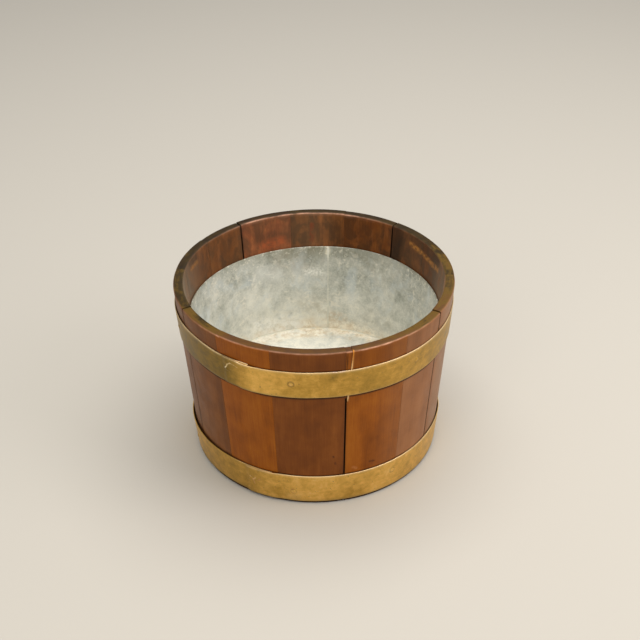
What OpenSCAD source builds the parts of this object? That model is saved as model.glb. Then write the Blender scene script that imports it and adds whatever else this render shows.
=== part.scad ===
// Coopered tub planter: wedge-shaped staves held by two pinned brass bands,
// a boarded head set in a croze groove, and a zinc liner that lifts out.
// Millimetres, +Z up, origin at the centre of the foot on the ground, front towards -Y.
// Bearings are degrees from the front, counted towards +X. Wall thicknesses are measured level.

/* [Tub] */
// Height of the staves
tub_h = 300; // [270:1:340]
// Outside diameter at the rim
rim_d = 444; // [424:1:500]
// Outside diameter at the foot
foot_d = 396; // [360:1:416]
// Thickness of a stave
stave_t = 16; // [13:0.5:20]
// Radius of the two rounded edges of the rim
rim_round = 2.5; // [1:0.5:5]
// Bevel of the inner edge at the foot
foot_bevel = 4; // [1:0.5:8]
// Width of a joint that has shrunk fully open
open_joint = 2; // [0.5:0.1:3.5]

/* [Head] */
// Height of the head's underside above the ground
head_lift = 58; // [40:1:80]
// Thickness of the head boards
head_t = 18; // [14:1:24]
// Number of boards in the head
head_boards = 4; // [2:1:6]
// Height of the croze groove that holds the head
croze_h = 8; // [6:0.5:10]
// Depth of the croze groove
croze_d = 5; // [3:0.5:7]
// Gap between the head boards, and round the head's edge
head_gap = 0.3; // [0.2:0.1:0.8]
// Diameter of the dowels between the head boards
dowel_d = 8; // [6:0.5:10]
// Length of a dowel
dowel_l = 36; // [24:1:44]
// Distance between the two dowels of one joint
dowel_pitch = 130; // [80:5:180]

/* [Bands] */
// Thickness of the brass strip
band_t = 1.5; // [1:0.1:2.5]
// Distance from the rim down to the upper band
upper_band_drop = 33; // [20:1:60]
// Width of the upper band
upper_band_w = 48; // [40:1:60]
// Height of the lower band's edge above the ground
lower_band_lift = 4; // [2:0.5:12]
// Width of the lower band
lower_band_w = 53; // [44:1:64]
// Bearing of the upper band's outer end
upper_lap_at = -38.5; // [-60:0.5:-30]
// Bearing of the lower band's outer end
lower_lap_at = -33; // [-60:0.5:-30]
// Length by which a band's ends overlap
lap_l = 45; // [30:1:70]
// Length over which the strip climbs onto its own tail
lap_ramp = 14; // [10:1:18]
// Distance from a band's outer end to the pin that holds the lap
lap_pin_in = 8; // [6:0.5:20]
// Clearance between a band and the staves
band_gap = 0.1; // [0.05:0.05:0.3]

/* [Pins] */
// Diameter of a pin's domed head
pin_head_d = 8; // [6:0.5:11]
// Height of a pin's domed head
pin_head_h = 1.3; // [0.8:0.1:2]
// Diameter of a pin's shank
pin_d = 2.8; // [2:0.1:4]
// Length of a pin under its head
pin_l = 13; // [8:0.5:14]
// Radial clearance of a drilled hole
hole_gap = 0.05; // [0.02:0.01:0.15]

/* [Liner] */
// Distance from the rim down to the liner's edge
liner_drop = 60; // [30:1:100]
// Thickness of the zinc sheet
sheet_t = 1; // [0.7:0.1:1.5]
// Gap between the liner and the staves
liner_gap = 1; // [0.5:0.1:3]
// Gap under the liner's floor
liner_seat = 0.3; // [0.2:0.1:1]
// Height of the hem folded outwards at the liner's edge
hem_h = 8; // [5:1:15]
// Height of the flange turned up from the liner's floor
flange_h = 5; // [4:0.5:10]
// Gap between folded layers of sheet
fold_gap = 0.1; // [0.05:0.05:0.3]
// Bearing of the liner's vertical seam
seam_at = 173; // [120:1:240]
// Length by which the liner's wall overlaps itself at the seam
seam_lap = 12; // [8:1:25]
// Width of the run of solder along the seam
solder_w = 3; // [2:0.5:5]
// Thickness of the solder along the seam
solder_t = 0.6; // [0.4:0.1:1]
// Size of the solder fillet round the floor
fillet_w = 2.4; // [1.5:0.1:4]

/* [Hidden] */
// Bearing of the joint that starts each stave, and how far it has opened as a share of open_joint
STAVES = [
    [-65, 0.65, "umber"],
    [-41.5, 0, "amber"],
    [-17.5, 0, "brown"],
    [12, 1, "amber"],
    [38, 0, "tan"],
    [59, 0.75, "tan"],
    [88.5, 0, "brown"],
    [118, 0, "umber"],
    [139.5, 1, "brown"],
    [165, 0, "umber"],
    [191, 0, "red"],
    [216.5, 1, "brown"],
    [238, 0, "brown"],
    [263.5, 0, "umber"],
];
// Bearing of each pin, and its height above the band's middle line as a share of the band's width
UPPER_PINS = [
    [-9.5, 0.01], [44, 0.02], [97, -0.02], [151, 0.04], [203, 0], [244, -0.04], [285, 0.02],
];
LOWER_PINS = [
    [-10.5, -0.12], [36, 0.11], [98, -0.04], [152, 0.02], [204, 0.06], [245, 0], [286, -0.06],
];
// Height of the lap's pin, given the same way
LAP_PIN_RISE = 0.06;

WOOD = [
    ["umber", [0.27, 0.15, 0.09]],
    ["brown", [0.36, 0.20, 0.11]],
    ["amber", [0.50, 0.27, 0.12]],
    ["tan", [0.55, 0.35, 0.24]],
    ["red", [0.46, 0.17, 0.08]],
];
BOARD_WOOD = [0.58, 0.44, 0.28];
DOWEL_WOOD = [0.74, 0.62, 0.42];
BRASS = [0.72, 0.56, 0.25];
PIN_BRASS = [0.60, 0.48, 0.24];
ZINC = [0.70, 0.70, 0.64];
SOLDER = [0.78, 0.78, 0.75];

stave_n = len(STAVES);
slope = (rim_d - foot_d) / 2 / tub_h;
lean = atan(slope);
mid_r = (rim_d + foot_d) / 4;

head_top = head_lift + head_t;
croze_z = head_lift + (head_t - croze_h) / 2;
croze_r = in_r(croze_z) + croze_d;
head_r = croze_r - head_gap;
board_w = 2 * head_r / head_boards;

upper_z = tub_h - upper_band_drop - upper_band_w;
lower_z = lower_band_lift;
upper_mid = upper_z + upper_band_w / 2;
lower_mid = lower_z + lower_band_w / 2;

liner_base = head_top + liner_seat;
liner_floor_z = liner_base + sheet_t;
liner_top = tub_h - liner_drop;
fold_r = sheet_t + fold_gap / 2;
fold_z = liner_top - fold_r;
seam_z = liner_floor_z + fillet_w + 2 * fold_gap;

$fn = 180;
SMALL_FN = 32;

// Thickness that the strip loses where it is bent up over its tail
CLIMB_THIN = 0.1;
// Depth of a drilled hole past the end of what it holds, and how far a cutter stands out of a face
HOLE_EXTRA = 1;
CUT = 1;

// Names of the repeated nodes
function stave_name(i) = str("stave_", i < 9 ? "0" : "", i + 1);
function board_name(i) = str("head_board_", i + 1);

// Outer and inner radius of the staves at height z, and the outer radius of the liner's wall
function out_r(z) = foot_d / 2 + slope * z;
function in_r(z) = out_r(z) - stave_t;
function wall_r(z) = in_r(z) - liner_gap - sheet_t - fold_gap;

// Degrees that a length spans round a circle of radius r
function span(length, r) = length / r * 180 / PI;

// Points of an arc in a profile, from angle a to angle b
function arc(cx, cz, r, a, b, steps = 4) =
    [for (i = [0 : steps]) let (t = a + (b - a) * i / steps) [cx + r * cos(t), cz + r * sin(t)]];

// Colour of a named wood tone
function wood(tone) = [for (w = WOOD) if (w[0] == tone) w[1]][0];

// Bearings at which stave i starts and ends, after the gap of each joint
function joint_pad(i) = span(STAVES[i % stave_n][1] * open_joint / 2, mid_r);
function stave_from(i) = STAVES[i][0] + joint_pad(i);
function stave_to(i) = (i == stave_n - 1 ? STAVES[0][0] + 360 : STAVES[i + 1][0]) - joint_pad(i + 1);

// Degrees from one bearing round to another, from 0 up to 360
function turn(from, to) = (to - from + 720) % 360;

// Whether bearing a lies on stave i
function on_stave(a, i) = turn(stave_from(i), a) < stave_to(i) - stave_from(i);

// A row of pins with the pin that holds the lap
function with_lap_pin(pins, mid, lap_at) =
    concat([[lap_at + span(lap_pin_in, out_r(mid)), LAP_PIN_RISE]], pins);

// Height of the seat under a pin's head, which is doubled where the strip lies over its own tail
function pin_seat(a, mid, lap_at) = let (lapped = span(lap_l + lap_ramp, out_r(mid)))
    band_gap + band_t * (turn(lap_at, a) < lapped ? 2 : 1);

// A profile swept round the tub's axis from one bearing to another
module sweep(from, to) {
    rotate([0, 0, from - 90]) rotate_extrude(angle = to - from) children();
}

// Section of a strip that follows the tub's taper, between two heights and two offsets from the staves
module strip_section(z0, z1, inner, outer) {
    polygon([
        [out_r(z0) + inner, z0], [out_r(z0) + outer, z0],
        [out_r(z1) + outer, z1], [out_r(z1) + inner, z1],
    ]);
}

// Section of a stave, with its rounded rim, its bevelled foot and the croze groove
module stave_section() {
    round_z = tub_h - rim_round;
    level_round = rim_round / cos(lean);
    polygon(concat(
        [[in_r(foot_bevel), foot_bevel], [in_r(0) + foot_bevel, 0], [out_r(0), 0]],
        arc(out_r(round_z) - level_round, round_z, rim_round, -lean, 90),
        arc(in_r(round_z) + level_round, round_z, rim_round, 90, 180 - lean),
        [
            [in_r(croze_z + croze_h), croze_z + croze_h], [croze_r, croze_z + croze_h],
            [croze_r, croze_z], [in_r(croze_z), croze_z],
        ]
    ));
}

// Puts its children on the tub's outer surface, with +Z square to that surface and pointing outwards
module on_tub(at, z, off) {
    rotate([0, 0, at]) translate([0, -out_r(z) - off, z]) rotate([90 + lean, 0, 0]) children();
}

// Puts its children at each pin of a band of width w, or at those on one stave
module at_pins(pins, mid, w, lap_at, stave = -1) {
    for (pin = with_lap_pin(pins, mid, lap_at))
        if (stave < 0 || on_stave(pin[0], stave))
            on_tub(pin[0], mid + pin[1] * w, pin_seat(pin[0], mid, lap_at)) children();
}

// The drilled hole for a pin
module pin_hole() {
    translate([0, 0, -pin_l - HOLE_EXTRA])
        cylinder(r = pin_d / 2 + hole_gap, h = pin_l + HOLE_EXTRA + CUT, $fn = SMALL_FN);
}

// A brass pin: a low domed head, a straight shank and a pointed end
module pin() {
    dome_r = (pow(pin_head_d / 2, 2) + pow(pin_head_h, 2)) / 2 / pin_head_h;
    point_l = pin_d;
    intersection() {
        translate([0, 0, pin_head_h - dome_r]) sphere(r = dome_r, $fn = 96);
        cylinder(d = pin_head_d + CUT, h = pin_head_h + CUT, $fn = SMALL_FN);
    }
    translate([0, 0, point_l - pin_l]) cylinder(d = pin_d, h = pin_l - point_l, $fn = SMALL_FN);
    translate([0, 0, -pin_l]) cylinder(d1 = pin_d / 4, d2 = pin_d, h = point_l, $fn = SMALL_FN);
}

// A block on the tub's side of a climb: its face falls by one thickness of strip, down to the
// offset given, between the tail's bearing and the climb's end
module under_climb(z, w, off, tail, climb_end) {
    mid = z + w / 2;
    sag = pow(lap_ramp, 2) / 8 / out_r(mid);
    on_tub((tail + climb_end) / 2, mid, off + band_t / 2 - sag)
        rotate([0, atan(band_t / lap_ramp), 0])
            translate([-lap_ramp, -w, -lap_ramp]) cube([2 * lap_ramp, 2 * w, lap_ramp]);
}

// A brass strip bent round the tub, climbing onto its own tail and lapped over it:
// a ring of two thicknesses, less the outer one past the lap and the hollow under the climb
module band(z, w, lap_at, pins) {
    r = out_r(z + w / 2);
    tail = lap_at + span(lap_l, r);
    climb_end = tail + span(lap_ramp, r);
    past = span(lap_ramp / 3, r);
    color(BRASS) difference() {
        rotate_extrude() strip_section(z, z + w, band_gap, band_gap + 2 * band_t);
        difference() {
            sweep(tail - past, lap_at + 360)
                strip_section(z - CUT, z + w + CUT, band_gap + band_t, band_gap + 3 * band_t);
            under_climb(z, w, band_gap + band_t, tail, climb_end);
        }
        intersection() {
            sweep(tail, climb_end + past)
                strip_section(z - CUT, z + w + CUT, band_gap - CUT, band_gap + 2 * band_t);
            under_climb(z, w, band_gap + CLIMB_THIN, tail, climb_end);
        }
        at_pins(pins, z + w / 2, w, lap_at) pin_hole();
    }
}

// One stave
module stave(i) {
    color(wood(STAVES[i][2])) difference() {
        sweep(stave_from(i), stave_to(i)) stave_section();
        at_pins(UPPER_PINS, upper_mid, upper_band_w, upper_lap_at, i) pin_hole();
        at_pins(LOWER_PINS, lower_mid, lower_band_w, lower_lap_at, i) pin_hole();
    }
}

// The head as one disc, with the tongue round its edge that sits in the croze groove
module head_disc() {
    tongue_top = croze_z + croze_h - head_gap;
    rotate_extrude() polygon([
        [0, head_lift], [in_r(head_lift) - head_gap, head_lift],
        [in_r(croze_z) - head_gap, croze_z], [head_r, croze_z],
        [head_r, tongue_top], [in_r(tongue_top) - head_gap, tongue_top],
        [in_r(head_top) - head_gap, head_top], [0, head_top],
    ]);
}

// Places its children at both dowels of the joint that starts board i
module at_dowels(i) {
    for (side = [-1, 1])
        translate([i * board_w - head_r, side * dowel_pitch / 2, head_lift + head_t / 2])
            rotate([0, 90, 0]) children();
}

// One board of the head
module head_board(i) {
    color(BOARD_WOOD) difference() {
        intersection() {
            head_disc();
            translate([i * board_w - head_r + head_gap / 2, -head_r - CUT, 0])
                cube([board_w - head_gap, 2 * (head_r + CUT), tub_h]);
        }
        for (j = [i, i + 1])
            if (j > 0 && j < head_boards)
                at_dowels(j) cylinder(
                    r = dowel_d / 2 + hole_gap, h = dowel_l + 2 * HOLE_EXTRA, center = true, $fn = 64
                );
    }
}

// The dowels that hold the head boards edge to edge
module head_dowels() {
    color(DOWEL_WOOD)
        for (j = [1 : head_boards - 1])
            at_dowels(j) cylinder(d = dowel_d, h = dowel_l, center = true, $fn = 64);
}

module upper_band() {
    band(upper_z, upper_band_w, upper_lap_at, UPPER_PINS);
}

module lower_band() {
    band(lower_z, lower_band_w, lower_lap_at, LOWER_PINS);
}

module upper_band_pins() {
    color(PIN_BRASS) at_pins(UPPER_PINS, upper_mid, upper_band_w, upper_lap_at) pin();
}

module lower_band_pins() {
    color(PIN_BRASS) at_pins(LOWER_PINS, lower_mid, lower_band_w, lower_lap_at) pin();
}

// The liner's wall: a tapered sheet with a hem folded outwards, lapped over itself at the seam
module liner_wall() {
    hem_z = liner_top - hem_h;
    fold_mid = wall_r(fold_z) + fold_gap / 2;
    lap_end = seam_at + span(seam_lap, wall_r(liner_top));
    color(ZINC) union() {
        rotate_extrude() polygon(concat(
            [
                [wall_r(liner_floor_z), liner_floor_z],
                [wall_r(liner_floor_z) - sheet_t, liner_floor_z],
            ],
            arc(fold_mid, fold_z, fold_r, 180, 0, 8),
            [
                [wall_r(hem_z) + fold_gap + sheet_t, hem_z],
                [wall_r(hem_z) + fold_gap, hem_z],
                [wall_r(fold_z) + fold_gap, fold_z],
                [wall_r(fold_z), fold_z],
            ]
        ));
        sweep(seam_at, lap_end) polygon([
            [wall_r(seam_z) - sheet_t / 2, seam_z], [wall_r(seam_z) - 2 * sheet_t, seam_z],
            [wall_r(fold_z) - 2 * sheet_t, fold_z], [wall_r(fold_z) - sheet_t / 2, fold_z],
        ]);
    }
}

// The liner's floor: a disc with its edge turned up outside the wall
module liner_floor() {
    flange_top = liner_base + flange_h;
    color(ZINC) rotate_extrude() polygon([
        [0, liner_base],
        [wall_r(liner_base) + fold_gap + sheet_t, liner_base],
        [wall_r(flange_top) + fold_gap + sheet_t, flange_top],
        [wall_r(flange_top) + fold_gap, flange_top],
        [wall_r(liner_floor_z) + fold_gap, liner_floor_z],
        [0, liner_floor_z],
    ]);
}

// Solder smeared along the free edge of the seam
module liner_seam_solder() {
    face = sheet_t + fold_gap / 2;
    near = seam_at - span(fold_gap, wall_r(liner_top));
    far = near - span(solder_w, wall_r(liner_top));
    color(SOLDER) sweep(far, near) polygon([
        [wall_r(seam_z) - face, seam_z], [wall_r(seam_z) - face - solder_t, seam_z],
        [wall_r(fold_z) - face - solder_t, fold_z], [wall_r(fold_z) - face, fold_z],
    ]);
}

// A fillet of solder round the corner between the liner's wall and floor
module liner_floor_solder() {
    face = sheet_t + fold_gap / 2;
    low = liner_floor_z + fold_gap / 2;
    high = low + fillet_w;
    color(SOLDER) rotate_extrude() polygon([
        [wall_r(low) - face, low], [wall_r(high) - face, high], [wall_r(low) - face - fillet_w, low],
    ]);
}

for (i = [0 : stave_n - 1])
    stave(i);
for (i = [0 : head_boards - 1])
    head_board(i);
head_dowels();
upper_band();
upper_band_pins();
lower_band();
lower_band_pins();
liner_wall();
liner_floor();
liner_seam_solder();
liner_floor_solder();
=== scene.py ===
"""Looks of a coopered wooden planter: fourteen varnished staves held by two pinned brass bands,
a boarded head inside, and a zinc liner that lifts out.

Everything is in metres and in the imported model's frame: +Z up, front towards -Y. A bearing is an
angle in degrees round the tub's axis, 0 at the front and growing towards +X.
"""

import logging
import math
from collections.abc import Mapping, Sequence
from dataclasses import dataclass, field
from enum import Enum

import bpy
import numpy as np
from mathutils import Matrix


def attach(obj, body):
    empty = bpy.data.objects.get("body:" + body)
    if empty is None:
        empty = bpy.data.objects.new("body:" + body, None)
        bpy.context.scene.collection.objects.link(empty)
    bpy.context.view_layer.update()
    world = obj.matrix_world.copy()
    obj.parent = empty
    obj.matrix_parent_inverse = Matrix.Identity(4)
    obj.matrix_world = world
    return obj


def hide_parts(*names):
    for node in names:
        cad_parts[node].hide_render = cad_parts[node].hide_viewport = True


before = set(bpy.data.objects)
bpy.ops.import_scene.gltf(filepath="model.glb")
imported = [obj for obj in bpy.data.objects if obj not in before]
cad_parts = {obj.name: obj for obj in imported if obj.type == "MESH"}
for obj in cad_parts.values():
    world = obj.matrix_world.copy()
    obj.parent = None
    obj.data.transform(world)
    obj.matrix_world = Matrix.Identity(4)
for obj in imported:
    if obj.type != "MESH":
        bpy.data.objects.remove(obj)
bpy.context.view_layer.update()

LOG = logging.getLogger("planter")
MM = 0.001

Array = np.ndarray
Socket = bpy.types.NodeSocket
Colour = tuple[float, float, float, float]
Stops = tuple[tuple[float, Colour], ...]
Curve = tuple[tuple[float, float], ...]


# Plain sums that the shapes share


def srgb(red: float, green: float, blue: float) -> Colour:
    """A colour given as it looks on a screen, turned into the light values that shaders take.

    Up to 0.04045 a share s becomes s / 12.92, and above it ((s + 0.055) / 1.055)^2.4.

    Args:
        red: Red, from 0 to 255.
        green: Green, from 0 to 255.
        blue: Blue, from 0 to 255.

    Returns:
        The light values and full cover.
    """
    shares = np.array([red, green, blue]) / 255.0
    light = np.where(shares <= 0.04045, shares / 12.92, ((shares + 0.055) / 1.055) ** 2.4)
    return (float(light[0]), float(light[1]), float(light[2]), 1.0)


def smooth_step(x: Array) -> Array:
    """Rises from 0 to 1 while x goes from 0 to 1, as 3x^2 - 2x^3, and stays level outside."""
    t = np.clip(x, 0.0, 1.0)
    return t * t * (3.0 - 2.0 * t)


def bell(x: Array, reach: float) -> Array:
    """A bell of height 1 round x = 0: exp(-(x / reach)^2)."""
    return np.exp(-((x / reach) ** 2))


def eased_line(x: Array, points: Sequence[tuple[float, float]]) -> Array:
    """Goes along x from one given value to the next by smooth steps, level at each and past the ends.

    Args:
        x: Where the value is wanted.
        points: Place and value pairs, with the places rising.

    Returns:
        The value at each x.
    """
    xs, ys = np.array(points).T
    i = np.clip(np.searchsorted(xs, x) - 1, 0, len(xs) - 2)
    return ys[i] + (ys[i + 1] - ys[i]) * smooth_step((x - xs[i]) / (xs[i + 1] - xs[i]))


def turn_between(bearings: Array, bearing: float) -> Array:
    """Degrees from one bearing to each of the others, from -180 to 180."""
    return (bearings - bearing + 180.0) % 360.0 - 180.0


def ripple(across: Array, along: Array, seed: int, waves: int = 8) -> Array:
    """A smooth uneven surface: the sum of a few products of sines with seeded pitches and phases.

    Args:
        across: First place on the surface, in radians of the longest wave.
        along: Second place on the surface, in the same units.
        seed: Picks the pitches and phases.
        waves: How many products are summed.

    Returns:
        Heights from about -1 to 1.
    """
    rng = np.random.default_rng(seed)
    pitches = rng.uniform(0.5, 2.6, (waves, 2))
    phases = rng.uniform(0.0, 2.0 * math.pi, (waves, 2))
    total = 0.0
    for (pitch_a, pitch_b), (phase_a, phase_b) in zip(pitches, phases):
        total = total + np.sin(pitch_a * across + phase_a) * np.sin(pitch_b * along + phase_b)
    return total / math.sqrt(waves)


def place(bearings: Array, radii: Array, heights: Array) -> Array:
    """Points at bearing b, radius r and height z: (r sin b, -r cos b, z).

    Args:
        bearings: Bearings, in degrees.
        radii: Distances from the tub's axis.
        heights: Heights above the floor.

    Returns:
        The points, with x, y and z last.
    """
    b = np.radians(bearings)
    b, r, z = np.broadcast_arrays(b, radii, heights)
    return np.stack((r * np.sin(b), -r * np.cos(b), z), axis=-1)


def rounded_profile(corners: Sequence[tuple[float, float, float]], spacing: float, steps: int = 5) -> Array:
    """A closed profile whose corners are cut to arcs and whose sides are cut into short runs.

    A corner lies between directions u and v to its neighbours, with half the angle between them
    called h. Its arc of radius r touches both sides at r / tan(h) from the corner, and its centre is
    on their bisector at r / sin(h).

    Args:
        corners: Each corner's first and second place and its radius, counted anticlockwise.
        spacing: Longest run along a side.
        steps: Runs along each arc.

    Returns:
        The profile's points, one row each.
    """
    points = np.array([c[:2] for c in corners])
    radii = np.array([c[2] for c in corners])
    back = np.roll(points, 1, axis=0) - points
    ahead = np.roll(points, -1, axis=0) - points
    back /= np.linalg.norm(back, axis=1, keepdims=True)
    ahead /= np.linalg.norm(ahead, axis=1, keepdims=True)
    half = np.arccos(np.clip((back * ahead).sum(axis=1), -1.0, 1.0)) / 2.0
    bisector = back + ahead
    bisector /= np.linalg.norm(bisector, axis=1, keepdims=True)
    centres = points + bisector * (radii / np.sin(half))[:, None]
    starts = points + back * (radii / np.tan(half))[:, None]
    ends = points + ahead * (radii / np.tan(half))[:, None]
    t = np.linspace(0.0, 1.0, steps + 1)[:, None]
    runs = []
    for i, opening in enumerate(math.pi - 2.0 * half):
        first, last = starts[i] - centres[i], ends[i] - centres[i]
        arc = (np.sin((1.0 - t) * opening) * first + np.sin(t * opening) * last) / np.sin(opening)
        side = starts[(i + 1) % len(corners)] - ends[i]
        count = max(1, math.ceil(float(np.linalg.norm(side)) / spacing))
        shares = np.linspace(0.0, 1.0, count + 1)[1:-1, None]
        runs += [centres[i] + arc, ends[i] + side * shares]
    return np.concatenate(runs)


def inset(loop: Array, depths: Array) -> Array:
    """Copies of a closed anticlockwise profile, each moved inwards by its own depth.

    Every point moves along the inward normal, which is the chord between its neighbours turned by a
    right angle.

    Args:
        loop: The profile, one row a point.
        depths: How far inwards each copy lies.

    Returns:
        Points as [copy, point, 2].
    """
    chord = np.roll(loop, -1, axis=0) - np.roll(loop, 1, axis=0)
    normal = np.stack((-chord[:, 1], chord[:, 0]), axis=1)
    normal /= np.linalg.norm(normal, axis=1, keepdims=True)
    return loop[None] + depths[:, None, None] * normal[None]


def eased_run(length: float, spacing: float, rounding: float, steps: int = 4) -> tuple[Array, Array]:
    """Places along a run whose two ends are rounded over, with how deep the rounding cuts at each.

    On the quarter circle at an end, the place is r(1 - cos k) and the depth is r(1 - sin k). Between
    them a share t of the way becomes t - 0.09 sin(2 pi t), which crowds the places at both ends.

    Args:
        length: Length of the run.
        spacing: Longest step along its middle.
        rounding: Radius of both ends.
        steps: Steps along each quarter circle.

    Returns:
        The places, from 0 to length, and the depths.
    """
    k = np.linspace(0.0, math.pi / 2.0, steps + 1)
    near, depth = rounding * (1.0 - np.cos(k)), rounding * (1.0 - np.sin(k))
    count = max(2, math.ceil((length - 2.0 * rounding) / spacing))
    t = np.linspace(0.0, 1.0, count + 1)[1:-1]
    inner = rounding + (length - 2.0 * rounding) * (t - 0.09 * np.sin(2.0 * math.pi * t))
    places = np.concatenate((near, inner, length - near[::-1]))
    return places, np.concatenate((depth, np.zeros(len(inner)), depth[::-1]))


# Meshes


@dataclass
class Shell:
    """One closed surface, made of closed loops that follow each other.

    Args:
        points: The loops, as [loop, point, xyz].
        ring: Whether the last loop joins the first. Otherwise the end loops are filled.
        values: Numbers or vectors stored at each point for the finish, by name.
    """

    points: Array
    ring: bool = False
    values: dict[str, Array] = field(default_factory=dict)

    def faces(self, first: int) -> list[list[int]]:
        """Faces of the surface, pointing outwards, with the shell's vertices numbered from first on.

        A quad joins two neighbouring points on one loop to the same two on the next. The volume summed
        over the quads says whether they face inwards, and then they are turned over.

        Args:
            first: Number of the shell's first vertex in its piece.

        Returns:
            Each face's vertex numbers, in order.
        """
        loops, count = self.points.shape[:2]
        number = np.arange(loops * count).reshape(loops, count)
        this = number if self.ring else number[:-1]
        following = np.roll(number, -1, axis=0) if self.ring else number[1:]
        corners = (this, np.roll(this, -1, axis=1), np.roll(following, -1, axis=1), following)
        quads = np.stack(corners, axis=-1).reshape(-1, 4)
        flat = self.points.reshape(-1, 3)
        flat = flat - flat.mean(axis=0)
        a, b, c, d = (flat[quads[:, i]] for i in range(4))
        volume = (np.cross(a, b) * c).sum() + (np.cross(a, c) * d).sum()
        faces = (quads + first).tolist()
        if not self.ring:
            faces += [(number[0, ::-1] + first).tolist(), (number[-1] + first).tolist()]
        return [face[::-1] for face in faces] if volume < 0.0 else faces


def build_piece(name: str, shells: Sequence[Shell], sharp: float = 0.7) -> bpy.types.Object:
    """Makes one mesh object from closed shells.

    Args:
        name: Name of the piece.
        shells: Its surfaces.
        sharp: Edges that turn by more than this, in radians, stay sharp.

    Returns:
        The object, at the origin, with its place in its mesh.
    """
    faces: list[list[int]] = []
    first = 0
    for shell in shells:
        faces += shell.faces(first)
        first += shell.points.shape[0] * shell.points.shape[1]
    mesh = bpy.data.meshes.new(name)
    mesh.from_pydata(np.concatenate([s.points.reshape(-1, 3) for s in shells]), [], faces)
    for key in sorted({k for s in shells for k in s.values}):
        width = next(s.values[key] for s in shells if key in s.values).shape[2:]
        rows = [np.broadcast_to(s.values.get(key, 0.0), s.points.shape[:2] + width) for s in shells]
        flat = np.concatenate([r.reshape(-1, *width) for r in rows]).astype(np.float32)
        kind, slot = ("FLOAT_VECTOR", "vector") if width else ("FLOAT", "value")
        mesh.attributes.new(key, kind, "POINT").data.foreach_set(slot, flat.ravel())
    mesh.polygons.foreach_set("use_smooth", np.ones(len(mesh.polygons), dtype=bool))
    mesh.set_sharp_from_angle(angle=sharp)
    mesh.update()
    piece = bpy.data.objects.new(name, mesh)
    bpy.context.scene.collection.objects.link(piece)
    return piece


# Finishes


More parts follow.
